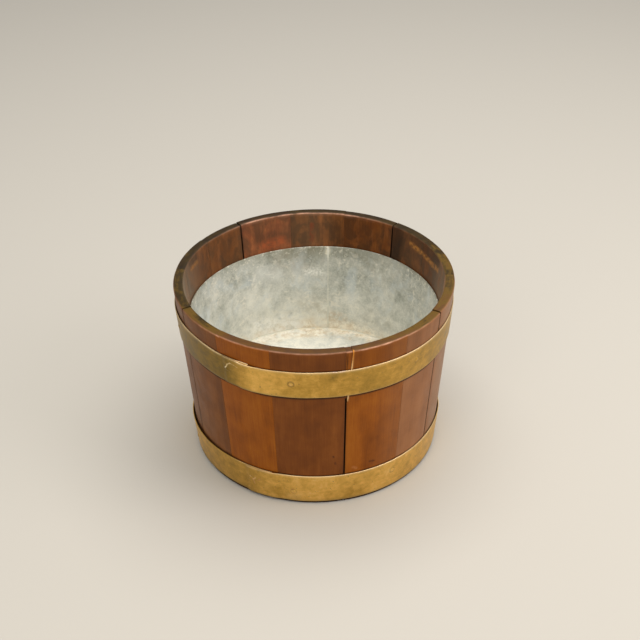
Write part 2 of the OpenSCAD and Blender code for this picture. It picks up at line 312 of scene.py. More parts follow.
class Shader:
    """A material built from short calls, each of which returns the socket that the next one reads."""

    def __init__(self, name: str) -> None:
        """Starts a material with one surface shader.

        Args:
            name: The material's name.
        """
        self.material = bpy.data.materials.new(name)
        self.material.use_nodes = True
        self.tree = self.material.node_tree
        self.tree.nodes.clear()
        output = self.tree.nodes.new("ShaderNodeOutputMaterial")
        self.surface = self.tree.nodes.new("ShaderNodeBsdfPrincipled")
        self.tree.links.new(self.surface.outputs[0], output.inputs[0])

    def node(self, kind: str, inputs: Mapping[str | int, object], **settings: object) -> bpy.types.Node:
        """Adds a node.

        Args:
            kind: Type of the node, without its common first word.
            inputs: Sockets to link, or values to set, by name or number.
            settings: The node's own properties.

        Returns:
            The node.
        """
        node = self.tree.nodes.new("ShaderNode" + kind)
        for key, value in settings.items():
            setattr(node, key, value)
        for key, value in inputs.items():
            self.feed(node.inputs[key], value)
        return node

    def feed(self, target: Socket, value: object) -> None:
        """Links a socket to another, or sets its value.

        Args:
            target: The socket that is fed.
            value: Another node's output, or a plain value.
        """
        if isinstance(value, bpy.types.NodeSocket):
            self.tree.links.new(value, target)
        else:
            target.default_value = value

    def set(self, **inputs: object) -> None:
        """Links or sets the surface shader's inputs, named with _ for each space."""
        for key, value in inputs.items():
            self.feed(self.surface.inputs[key.replace("_", " ").title().replace("Ior", "IOR")], value)

    def place(self) -> Socket:
        """The point on the piece, in metres."""
        return self.node("TexCoord", {}).outputs["Object"]

    def stored(self, name: str) -> Socket:
        """A number stored on the mesh."""
        return self.node("Attribute", {}, attribute_name=name).outputs["Fac"]

    def stored_vector(self, name: str) -> Socket:
        """A vector stored on the mesh."""
        return self.node("Attribute", {}, attribute_name=name).outputs["Vector"]

    def parts(self, vector: Socket) -> tuple[Socket, Socket, Socket]:
        """The three parts of a vector."""
        node = self.node("SeparateXYZ", {0: vector})
        return node.outputs[0], node.outputs[1], node.outputs[2]

    def vector(self, operation: str, first: object, second: object) -> Socket:
        """Vector arithmetic."""
        return self.node("VectorMath", {0: first, 1: second}, operation=operation).outputs[0]

    def stretch(self, vector: Socket, factors: tuple[float, float, float]) -> Socket:
        """A vector with each part times its own factor, which draws patterns out where it is small."""
        return self.vector("MULTIPLY", vector, factors)

    def number(self, operation: str, *values: object) -> Socket:
        """Arithmetic on numbers."""
        return self.node("Math", dict(enumerate(values)), operation=operation).outputs[0]

    def plus(self, first: object, second: object) -> Socket:
        """The first number plus the second."""
        return self.number("ADD", first, second)

    def minus(self, first: object, second: object) -> Socket:
        """The first number minus the second."""
        return self.number("SUBTRACT", first, second)

    def times(self, first: object, second: object) -> Socket:
        """The first number times the second."""
        return self.number("MULTIPLY", first, second)

    def times_plus(self, first: object, factor: object, second: object) -> Socket:
        """The first number times a factor, plus the second."""
        return self.number("MULTIPLY_ADD", first, factor, second)

    def most(self, first: object, second: object) -> Socket:
        """The larger of two numbers."""
        return self.number("MAXIMUM", first, second)

    def blend(self, *shares: tuple[Socket, float]) -> Socket:
        """Sum of values, each times its weight.

        Args:
            shares: Each value with its weight.

        Returns:
            The sum.
        """
        total: object = 0.0
        for value, weight in shares:
            total = self.times_plus(value, weight, total)
        return total

    def near(self, value: Socket, centre: float, reach: float) -> Socket:
        """1 where a value is at the centre, falling to 0 at the reach to either side."""
        return self.spread(self.number("ABSOLUTE", self.minus(value, centre)), 0.0, reach, 1.0, 0.0)

    def noise(self, vector: Socket, scale: float, detail: float = 3.0, rough: float = 0.55,
              bend: float = 0.0) -> Socket:
        """Cloudy noise from 0 to 1, with patches about 1 / scale metres across."""
        inputs = {"Vector": vector, "Scale": scale, "Detail": detail, "Roughness": rough, "Distortion": bend}
        return self.node("TexNoise", inputs).outputs[0]

    def spread(self, value: Socket, low: float, high: float,
               first: float = 0.0, last: float = 1.0) -> Socket:
        """Maps low..high on to first..last, level outside."""
        inputs = {"Value": value, "From Min": low, "From Max": high, "To Min": first, "To Max": last}
        return self.node("MapRange", inputs, clamp=True).outputs[0]

    def ramp(self, value: Socket, stops: Sequence[tuple[float, Colour]]) -> Socket:
        """A colour that goes through each stop as the value passes its place.

        Args:
            value: The value.
            stops: Place and colour pairs, with the places rising.

        Returns:
            The colour.
        """
        node = self.node("ValToRGB", {0: value})
        elements = node.color_ramp.elements
        elements[0].position, elements[0].color = stops[0]
        elements[1].position, elements[1].color = stops[-1]
        for position, colour in stops[1:-1]:
            elements.new(position).color = colour
        return node.outputs[0]

    def mix(self, share: object, first: object, second: object) -> Socket:
        """Mixes two colours by a share."""
        return self.node("Mix", {0: share, 6: first, 7: second}, data_type="RGBA").outputs[2]

    def bump(self, height: Socket, distance: float, strength: float, under: Socket | None = None) -> Socket:
        """A surface normal tipped by a height, on top of another bump if one is given.

        Args:
            height: Height of the relief, from 0 to 1.
            distance: What a height of 1 stands for, in metres.
            strength: How much of the tipping shows.
            under: The normal beneath it.

        Returns:
            The normal.
        """
        inputs: dict[str | int, object] = {"Strength": strength, "Distance": distance, "Height": height}
        if under is not None:
            inputs["Normal"] = under
        return self.node("Bump", inputs).outputs[0]

    def stroke(self, where: Socket, start: Array, end: Array, width: float, soft: float) -> Socket:
        """A short mark painted from one point to another, 1 on the mark and 0 away from it.

        The nearest point of the segment is its start plus its direction times a clipped share, and the
        mark fades over the soft distance past half its width.

        Args:
            where: The point on the piece.
            start: One end of the mark.
            end: Its other end.
            width: Its full width.
            soft: Distance over which it fades.

        Returns:
            How fully the mark covers.
        """
        run = end - start
        along = self.vector("SUBTRACT", where, tuple(start))
        dot = self.node("VectorMath", {0: along, 1: tuple(run)}, operation="DOT_PRODUCT").outputs["Value"]
        share = self.node("Math", {0: dot, 1: float(run @ run)}, operation="DIVIDE", use_clamp=True)
        inputs = {0: tuple(run), "Scale": share.outputs[0]}
        scaled = self.node("VectorMath", inputs, operation="SCALE").outputs[0]
        off = self.node("VectorMath", {0: self.vector("SUBTRACT", along, scaled)}, operation="LENGTH")
        return self.spread(off.outputs["Value"], width / 2.0, width / 2.0 + soft, 1.0, 0.0)


@dataclass(frozen=True)
class Tub:
    """The tub's common outline, a cone that widens towards the rim.

    Args:
        height: From the floor to the rim.
        rim_radius: Radius of the staves' outer face at the rim.
        foot_radius: The same at the floor.
        wall: Thickness of the staves.
    """

    height: float = 300 * MM
    rim_radius: float = 222 * MM
    foot_radius: float = 198 * MM
    wall: float = 16 * MM

    @property
    def slope(self) -> float:
        """How much the radius grows for each metre of height."""
        return (self.rim_radius - self.foot_radius) / self.height

    @property
    def middle(self) -> float:
        """Radius of the staves' outer face at half height."""
        return (self.rim_radius + self.foot_radius) / 2.0

    def outer(self, z: Array | float) -> Array:
        """Radius of the staves' outer face at height z."""
        return self.foot_radius + self.slope * np.asarray(z, dtype=float)

    def inner(self, z: Array | float) -> Array:
        """Radius of the staves' inner face at height z."""
        return self.outer(z) - self.wall

    def point(self, bearing: float, z: float, proud: float = 0.0) -> Array:
        """A point on the outer face, or proud of it."""
        return place(np.array(bearing), self.outer(z) + proud, np.array(z))


TUB = Tub()


@dataclass(frozen=True)
class Mark:
    """A bruise, scratch, scuff or stain between two places, each a bearing and a height in mm.

    Args:
        start: One end.
        end: The other end.
        width: Full width, in mm.
        soft: Distance over which it fades, in mm.
        colour: Its colour.
        strength: How fully it covers.
        depth: How far behind the staves' outer face it lies.
        ragged: Scale of the noise that breaks it up, or 0 for a whole one.
    """

    start: tuple[float, float]
    end: tuple[float, float]
    width: float
    soft: float
    colour: Colour
    strength: float = 0.8
    depth: float = 0.0
    ragged: float = 700.0

    def paint(self, shader: Shader, where: Socket, colour: Socket) -> Socket:
        """Paints the mark over a colour.

        Args:
            shader: The material that it is part of.
            where: The point on the piece.
            colour: What lies under the mark.

        Returns:
            The colour with the mark on it.
        """
        start, end = (TUB.point(b, z * MM, -self.depth) for b, z in (self.start, self.end))
        mask = shader.stroke(where, start, end, self.width * MM, self.soft * MM)
        mask = shader.times(mask, self.strength)
        if self.ragged:
            breaks = shader.spread(shader.noise(where, self.ragged, 4.0, 0.65), 0.36, 0.6)
            mask = shader.times(mask, breaks)
        return shader.mix(mask, colour, self.colour)


class Tone(Enum):
    """The finishes of the staves, each with its slot and its dark, middle and light colour."""

    UMBER = ("stave_umber", srgb(86, 48, 20), srgb(115, 68, 30), srgb(138, 87, 43))
    BROWN = ("stave_brown", srgb(89, 46, 13), srgb(115, 62, 18), srgb(136, 78, 27))
    AMBER = ("stave_amber", srgb(112, 56, 4), srgb(142, 76, 8), srgb(162, 94, 19))
    TAN = ("stave_tan", srgb(128, 77, 40), srgb(149, 94, 53), srgb(166, 109, 65))
    RED = ("stave_red", srgb(98, 45, 21), srgb(134, 69, 36), srgb(158, 92, 50))

    @property
    def slot(self) -> str:
        """The record's material slot."""
        return self.value[0]


@dataclass(frozen=True)
class StaveWood:
    """Satin-varnished hardwood with fine upright grain, stained inside and dulled olive on the rim, with
    painted light on it: highlights, a grey sheen, shade and a reflection on the rim.

    Args:
        tone: Its colours.
        marks: Bruises, scuffs and stains.
        rim_stops: The rim's colours, from dark olive to grey brown.
        arris: Colour of the rim's rubbed edges and of the painted highlight along them.
        bare: Wood without varnish lower down, lightened to a painted highlight on the crack's edge.
        bare_top: Wood without varnish, near the rim.
        bare_heights: Heights between which the first turns into the second.
        grime: Colour of the dirt beside the joints, and of the painted shade along the bands, at the foot
            and wherever shade is stored.
        stain: Dark blotches on the inner faces.
        glow: Warm smears on the inner faces.
        haze: Grey of the painted sheen that glancing light leaves on the varnish.
        under_band_dirt_and_shade: Middle and reach of the dirt and painted shade below the upper band's
            lower edge.
        over_band_shade: The same for the painted shade above its upper edge.
        over_foot_shade: The same above the lower band.
        foot_shade: Heights between which the painted shade at the foot ends.
        sway: How far the grain wanders to either side.
    """

    tone: Tone
    marks: tuple[Mark, ...] = ()
    rim_stops: Stops = (
        (0, srgb(20, 15, 0)),
        (0.30, srgb(43, 33, 0)),
        (0.52, srgb(88, 66, 12)),
        (0.72, srgb(84, 56, 18)),
        (1, srgb(68, 45, 28)),
    )
    # Pale pinkish wear and painted highlight on the rim's arrises
    arris: Colour = srgb(206, 156, 128)
    bare: Colour = srgb(255, 214, 150)
    bare_top: Colour = srgb(250, 166, 66)
    bare_heights: tuple[float, float] = (268 * MM, 292 * MM)
    grime: Colour = srgb(30, 18, 8)
    stain: Colour = srgb(56, 38, 22)
    glow: Colour = srgb(160, 96, 50)
    # Grey of the painted sheen of glancing light
    haze: Colour = srgb(142, 128, 106)
    # Painted shade, with some dirt, along the bands' edges and at the foot
    under_band_dirt_and_shade: tuple[float, float] = (-2.3 * MM, 3.3 * MM)
    over_band_shade: tuple[float, float] = (0.4 * MM, 1.8 * MM)
    over_foot_shade: tuple[float, float] = (0.4 * MM, 2.4 * MM)
    foot_shade: tuple[float, float] = (2.5 * MM, 6.0 * MM)
    sway: float = 6 * MM

    def grain_height(self, shader: Shader, bent: Socket) -> tuple[Socket, Socket]:
        """Fine fibre, and the pores as narrow dark dashes.

        Args:
            shader: The material.
            bent: Place in the wood, with the grain's sway.

        Returns:
            The fibre and the pores, each from 0 to 1.
        """
        fibre = shader.noise(shader.stretch(bent, (1, 1, 0.020)), 1150, 4, 0.6)
        pores = shader.noise(shader.stretch(bent, (1, 1, 0.045)), 2300, 2, 0.5)
        return fibre, shader.spread(pores, 0.28, 0.38, 1, 0)

    def board(self, shader: Shader, grain: Socket, bent: Socket, fibre: Socket, pores: Socket) -> Socket:
        """The wood's own colour: fibre, broad bands and clouds through the tone's three colours.

        Args:
            shader: The material.
            grain: Place in the wood.
            bent: The same with the grain's sway.
            fibre: Fine fibre.
            pores: The pores.

        Returns:
            The colour.
        """
        _, dark, middle, light = self.tone.value
        band = shader.noise(shader.stretch(bent, (1, 1, 0.05)), 110, 3, 0.55)
        wide = shader.noise(shader.stretch(bent, (1, 1, 0.12)), 34, 2, 0.5)
        cloud = shader.noise(shader.stretch(grain, (1, 1, 0.9)), 26, 4)
        mixed = shader.blend((fibre, 0.25), (band, 0.15), (wide, 0.24), (cloud, 0.36))
        colour = shader.ramp(shader.spread(mixed, 0.36, 0.66), ((0, dark), (0.5, middle), (1, light)))
        return shader.mix(shader.times(pores, 0.22), colour, dark)

    def age_inside(self, shader: Shader, grain: Socket, blotch: Socket, colour: Socket) -> Socket:
        """Stains and warm smears on the inner faces, and a painted grey sheen wherever it is stored.

        Args:
            shader: The material.
            grain: Place in the wood.
            blotch: Cloudy noise that parts stained wood from clean.
            colour: The wood's own colour.

        Returns:
            The aged colour.
        """
        inside = shader.stored("inside")
        smear = shader.noise(shader.stretch(grain, (1, 1, 0.30)), 95, 4, 0.6)
        stained = shader.times(inside, shader.spread(blotch, 0.40, 0.60, 0.64, 0.02))
        colour = shader.mix(stained, colour, self.stain)
        warm = shader.times(shader.spread(smear, 0.50, 0.66), shader.spread(blotch, 0.38, 0.58))
        colour = shader.mix(shader.times(inside, shader.times(warm, 0.38)), colour, self.glow)
        # Painted grey sheen of glancing light, on the inner and outer faces
        return shader.mix(shader.stored("haze"), colour, self.haze)

    def dirt(self, shader: Shader, grain: Socket, height: Socket) -> Socket:
        """Dirt beside the joints, and painted shade with some dirt along the bands and at the foot.

        Args:
            shader: The material.
            grain: Place in the wood.
            height: Height above the floor.

        Returns:
            How dark the wood is made, from 0 to 1.
        """
        # Painted shade with some dirt under and over the bands' edges, and painted contact shade at the foot
        low, top, foot = shader.parts(shader.stored_vector("bands"))
        dirt_and_shade_lines = shader.most(shader.near(low, *self.under_band_dirt_and_shade),
                            shader.times(shader.near(top, *self.over_band_shade), 0.7))
        dirt_and_shade_lines = shader.most(dirt_and_shade_lines, shader.times(shader.near(foot, *self.over_foot_shade), 0.8))
        dirt_and_shade_lines = shader.times(dirt_and_shade_lines, shader.minus(1, shader.stored("inside")))
        dirt_and_shade_lines = shader.most(dirt_and_shade_lines, shader.spread(height, *self.foot_shade, 1, 0))
        edge = shader.stored("edge")
        worn = shader.spread(shader.noise(grain, 210, 4, 0.65), 0.38, 0.66, 0.55, 0.25)
        dirt = shader.most(shader.times(edge, worn), shader.times(dirt_and_shade_lines, 0.92))
        return shader.most(dirt, shader.spread(edge, 0.74, 0.86, 0, 0.95))

    def age_rim(self, shader: Shader, grain: Socket, colour: Socket) -> Socket:
        """The rim's colours, partly a painted reflection, and the pale rubbed edges beside it with their
        painted highlight.

        Args:
            shader: The material.
            grain: Place in the wood.
            colour: What lies under them.

        Returns:
            The colour with the rim's age.
        """
        # The rim's aged end grain; its stored age also carries a painted reflection of dark surroundings, by
        # bearing
        streak = shader.noise(shader.stretch(grain, (0.22, 1, 1)), 210, 5, 0.62)
        patch = shader.noise(grain, 48, 4, 0.6)
        turn = shader.blend((streak, 0.70), (patch, 0.86), (shader.stored("age"), 1))
        aged = shader.ramp(shader.minus(turn, 0.78), self.rim_stops)
        colour = shader.mix(shader.times(shader.stored("rim"), 0.94), colour, aged)
        # Rubbed wood and a painted highlight along the rim's arrises
        fine = shader.noise(shader.stretch(grain, (0.4, 1, 1)), 120, 4, 0.65)
        arris_rub_and_highlight = shader.spread(fine, 0.36, 0.62, 0.15, 0.75)
        return shader.mix(shader.times(shader.stored("arris"), arris_rub_and_highlight), colour, self.arris)

    def build(self) -> bpy.types.Material:
        """Makes the material from the values stored on the staves.

        Returns:
            The material.
        """
        shader = Shader(self.tone.slot)
        grain, where = shader.stored_vector("grain"), shader.place()
        _, _, height = shader.parts(grain)
        drift = shader.noise(shader.stretch(grain, (1, 1, 0.25)), 14, 2)
        inputs = {0: (1, 1, 0), "Scale": shader.spread(drift, 0, 1, -self.sway, self.sway)}
        sway = shader.node("VectorMath", inputs, operation="SCALE").outputs[0]
        bent = shader.vector("ADD", grain, sway)
        fibre, pores = self.grain_height(shader, bent)
        blotch = shader.noise(shader.stretch(grain, (1, 1, 0.6)), 42, 5, 0.64, 0.5)
        colour = self.board(shader, grain, bent, fibre, pores)
        colour = self.age_inside(shader, grain, blotch, colour)
        dirt = self.dirt(shader, grain, height)
        # Painted shade from the stored shade darkens the wood in the same colour as the dirt
        dark = shader.most(dirt, shader.times(shader.stored("shade"), 0.85))
        colour = shader.mix(dark, colour, self.grime)
        colour = self.age_rim(shader, grain, colour)
        # Bare wood along the crack, with a painted highlight on its edge that is palest near the band
        flaked = shader.spread(shader.noise(grain, 340, 3), 0.30, 0.48, 0.6, 1)
        bare = shader.times(shader.stored("bare"), flaked)
        fresh = shader.mix(shader.spread(height, *self.bare_heights), self.bare, self.bare_top)
        colour = shader.mix(bare, colour, fresh)
        for mark in self.marks:
            colour = mark.paint(shader, where, colour)

        smooth = shader.spread(blotch, 0.3, 0.7)
        rough = shader.blend((smooth, 0.16), (fibre, 0.10), (bare, 0.25), (dirt, 0.20))
        texture = shader.blend((fibre, 0.8), (pores, -0.5))
        relief = shader.bump(texture, 0.08 * MM, 0.6)
        normal = shader.bump(shader.noise(grain, 30, 2), 1.0 * MM, 0.35, relief)
        shader.set(base_color=colour, roughness=shader.plus(rough, 0.30), normal=normal,
                   specular_ior_level=0.13, coat_weight=0.04, coat_roughness=0.22, coat_ior=1.5)
        return shader.material


@dataclass(frozen=True)
class HeadWood:
    """Unfinished pale timber, sawn rather than planed, and grey-brown where it has been damp.

    Its grain is drawn out along the axis whose factor in along is small.
    """

    slot: str
    dark: Colour
    light: Colour
    along: tuple[float, float, float]
    damp: Colour = srgb(70, 56, 40)

    def build(self) -> bpy.types.Material:
        """Makes the material on the piece's own place, with the grain along one axis.

        Returns:
            The material.
        """
        shader = Shader(self.slot)
        where = shader.place()
        spot = shader.stretch(where, self.along)
        fibre = shader.noise(spot, 520, 5, 0.65)
        band = shader.noise(spot, 60, 3, 0.6, 0.4)
        saw = shader.noise(shader.stretch(where, (0.02, 1, 1)), 420, 2)
        tone = shader.spread(shader.blend((fibre, 0.5), (band, 0.5)), 0.34, 0.68)
        colour = shader.ramp(tone, ((0, self.dark), (1, self.light)))
        damp = shader.spread(shader.noise(where, 9, 4), 0.45, 0.7, 0, 0.5)
        colour = shader.mix(damp, colour, self.damp)
        height = shader.blend((fibre, 1), (saw, 0.5))
        shader.set(base_color=colour, roughness=shader.spread(fibre, 0.2, 0.8, 0.62, 0.85),
                   normal=shader.bump(height, 0.3 * MM, 0.7))
        return shader.material


@dataclass(frozen=True)
class Brass:
    """Old brass: gold where it is rubbed, olive brown where it has dulled, with fine brushing, and painted
    light: a reflection that varies by bearing, highlights along its edges and shade on its lower edge.
    """

    slot: str
    marks: tuple[Mark, ...] = ()
    stops: Stops = (
        (0, srgb(88, 70, 22)),
        (0.30, srgb(138, 109, 37)),
        (0.58, srgb(190, 148, 62)),
        (0.80, srgb(226, 179, 88)),
        (1, srgb(244, 205, 128)),
    )
    # Pale gold of the rubbed edges and their painted highlight
    bright: Colour = srgb(255, 226, 176)
    grime: Colour = srgb(52, 42, 20)

    def build(self) -> bpy.types.Material:
        """Makes the material from the stored strip place, the polish with its painted reflection, the bare
        edges with their painted highlight, and the grime with its painted shade.

        Returns:
            The material.
        """
        shader = Shader(self.slot)
        where, strip = shader.place(), shader.stored_vector("strip")
        patch = shader.noise(where, 14, 3, 0.55, 0.3)
        mottle = shader.noise(where, 80, 4, 0.62, 0.4)
        fine = shader.noise(where, 520, 3, 0.6)
        brushed = shader.noise(shader.stretch(strip, (0.03, 1, 1)), 1100, 3, 0.6)
        wiped = shader.noise(shader.stretch(strip, (0.10, 1, 1)), 170, 3, 0.6)
        tone = shader.blend((patch, 0.50), (mottle, 0.60), (wiped, 0.18), (fine, 0.18), (brushed, 0.10))
        # Polish and patina together with a painted reflection of the surroundings, by bearing
        tone = shader.plus(tone, shader.times_plus(shader.stored("polish"), 0.34, -0.21))
        colour = shader.ramp(tone, self.stops)
        specks = shader.spread(shader.noise(where, 300, 2, 0.4), 0.68, 0.76)
        colour = shader.mix(shader.times(specks, 0.55), colour, self.grime)
        # Dirt round the pins, and painted shade on the strip's inner face and lower edge
        grime = shader.times(shader.stored("grime"), shader.spread(mottle, 0.25, 0.6, 0.55, 1))
        colour = shader.mix(grime, colour, self.grime)
        # Rubbed edges with a painted highlight on them
        bare = shader.times(shader.stored("bare"), shader.spread(wiped, 0.3, 0.55, 0.7, 1))
        colour = shader.mix(bare, colour, self.bright)
        for mark in self.marks:
            colour = mark.paint(shader, where, colour)
        uneven = shader.spread(mottle, 0.3, 0.7)
        rough = shader.blend((uneven, 0.10), (fine, 0.08), (bare, -0.12), (grime, 0.25))
        metal = shader.times_plus(shader.most(grime, specks), -0.6, 0.82)
        height = shader.blend((brushed, 0.5), (mottle, 0.8))
        shader.set(base_color=colour, metallic=metal, roughness=shader.plus(rough, 0.36),
                   coat_weight=0.14, coat_roughness=0.35, normal=shader.bump(height, 0.05 * MM, 0.6))
        return shader.material


@dataclass(frozen=True)
class Zinc:
    """Weathered zinc sheet: soft grey clouds, white bloom, a tide mark on top with painted shade along the
    edge, dirt at the floor and painted light on the floor's far part.

    Args:
        slot: The record's material slot.
        stops: Its greys, from dark to light.
        cool: The bluish veil over it.
        cream: Bloom, flecks and pale crust.
        water: The tide mark, whose colour also paints the shade along the wall's top edge.
        dirt: What has settled in the corner at the floor.
        earth: Grit in it.
        edge_height: Height of the upper edge, below which the flecks lie.
        fleck_depths: Depths below that edge between which they thin out.
        stains_and_highlights: Water marks and crusts, and painted highlights along the seam.
    """

    slot: str = "liner_zinc"
    stops: Stops = (
        (0, srgb(142, 145, 136)),
        (0.35, srgb(182, 184, 174)),
        (0.7, srgb(208, 208, 198)),
        (1, srgb(226, 224, 212)),
    )
    cool: Colour = srgb(198, 208, 212)
    cream: Colour = srgb(242, 236, 220)
    water: Colour = srgb(122, 118, 94)
    dirt: Colour = srgb(208, 190, 158)
    earth: Colour = srgb(166, 144, 112)
    edge_height: float = 240 * MM
    fleck_depths: tuple[float, float] = (4 * MM, 50 * MM)
    stains_and_highlights: tuple[Mark, ...] = ()

    def build(self) -> bpy.types.Material:
        """Makes the material on the piece's own place, so that wall and floor run into each other.

        Returns:
            The material.
        """
        shader = Shader(self.slot)
        where = shader.place()
        _, _, z = shader.parts(where)
        low = shader.stored("low")
        long = shader.stretch(where, (1, 1, 0.9))
        cloud = shader.noise(long, 17, 4, 0.6, 0.4)
        blotch = shader.noise(long, 62, 4, 0.64, 0.4)
        grain = shader.noise(where, 300, 4, 0.65)
        tone = shader.blend((cloud, 0.50), (blotch, 0.27), (grain, 0.23))
        # Lighter towards the floor on the wall; on the liner's floor the stored value carries painted light
        tone = shader.plus(shader.spread(tone, 0.37, 0.65), shader.times_plus(low, 0.42, -0.12))
        colour = shader.ramp(tone, self.stops)
        veil = shader.spread(shader.noise(long, 30, 4, 0.6, 0.6), 0.50, 0.66, 0, 0.45)
        veil = shader.times(veil, shader.spread(low, 0.5, 1, 1, 0.2))
        colour = shader.mix(veil, colour, self.cool)
        bloom = shader.times(shader.spread(shader.noise(where, 100, 5, 0.7, 0.8), 0.52, 0.66),
                             shader.spread(shader.noise(where, 13, 2), 0.42, 0.60))
        colour = shader.mix(shader.times(bloom, 0.6), colour, self.cream)

        # The stored tide mark also carries painted shade along the wall's top edge
        tide = shader.stored("tide")
        streaks = shader.noise(shader.stretch(where, (1, 1, 0.12)), 70, 4, 0.6)
        damp = shader.times(tide, shader.spread(streaks, 0.32, 0.58, 0.35, 0.85))
        colour = shader.mix(damp, colour, self.water)
        flecks = shader.spread(shader.noise(where, 150, 4, 0.62), 0.55, 0.68)
        depth = shader.minus(self.edge_height, z)
        flecks = shader.times(flecks, shader.spread(depth, *self.fleck_depths, 0.55, 0.05))
        colour = shader.mix(flecks, colour, self.cream)

        corner = shader.stored("corner")
        crust = shader.noise(where, 90, 4, 0.6)
        uneven = shader.spread(shader.noise(where, 48, 4, 0.6), 0.36, 0.62, 1.5, 0.3)
        settled = shader.spread(shader.times(corner, uneven), 0.08, 0.80, 0, 0.8)
        film = shader.mix(shader.spread(crust, 0.40, 0.60), self.cream, self.dirt)
        colour = shader.mix(settled, colour, film)
        grit = shader.spread(shader.noise(where, 170, 4, 0.66), 0.54, 0.68)
        colour = shader.mix(shader.times(settled, shader.times(grit, 0.5)), colour, self.earth)
        for mark in self.stains_and_highlights:
            colour = mark.paint(shader, where, colour)
        rough = shader.blend((shader.spread(tone, 0.2, 0.9), 0.10), (bloom, 0.14), (damp, -0.10))
        height = shader.blend((blotch, 0.8), (grain, 0.4))
        shader.set(base_color=colour, metallic=0.22, roughness=shader.plus(rough, 0.48),
                   normal=shader.bump(height, 0.22 * MM, 0.5))
        return shader.material


@dataclass(frozen=True)
class Solder:
    """Solder that has dulled to the zinc's own grey, cream where it bloomed and where a painted highlight
    lies along the seam, and brown in the corners.
    """

    slot: str = "solder"
    dull: Colour = srgb(200, 200, 188)
    light: Colour = srgb(232, 230, 216)
    dirt: Colour = srgb(214, 198, 168)

    def build(self) -> bpy.types.Material:
        """Makes the material on the piece's own place.

        Returns:
            The material.
        """
        shader = Shader(self.slot)
        where = shader.place()
        cloud = shader.noise(where, 75, 5, 0.68, 0.8)
        fine = shader.noise(where, 420, 3)
        # The stored light value pales the solder, with a painted highlight on the seam's upper part
        tone = shader.plus(shader.spread(shader.blend((cloud, 0.6), (fine, 0.4)), 0.36, 0.64),
                           shader.times_plus(shader.stored("light"), 0.7, -0.35))
        colour = shader.ramp(tone, ((0, self.dull), (1, self.light)))
        grime = shader.times(shader.stored("grime"), shader.spread(cloud, 0.40, 0.60, 0.1, 0.65))
        colour = shader.mix(grime, colour, self.dirt)
        shader.set(base_color=colour, metallic=0.22, roughness=shader.spread(fine, 0.3, 0.7, 0.46, 0.58),
                   normal=shader.bump(cloud, 0.4 * MM, 0.5))
        return shader.material


# Brass pieces


@dataclass(frozen=True)
class Slack:
    """A stretch where a band stands off the staves: its bearing, its reach to each side, how far."""

    bearing: float
    reach: float
    off: float


@dataclass(frozen=True)
class Pin:
    """Where a pin goes through a band.

    Args:
        bearing: Its bearing.
        up: Its height above the band's middle line, as a share of the band's width.
        proud: How much of its dome stands out of the brass, from 0 to 1.
    """

    bearing: float
    up: float
    proud: float = 0.8


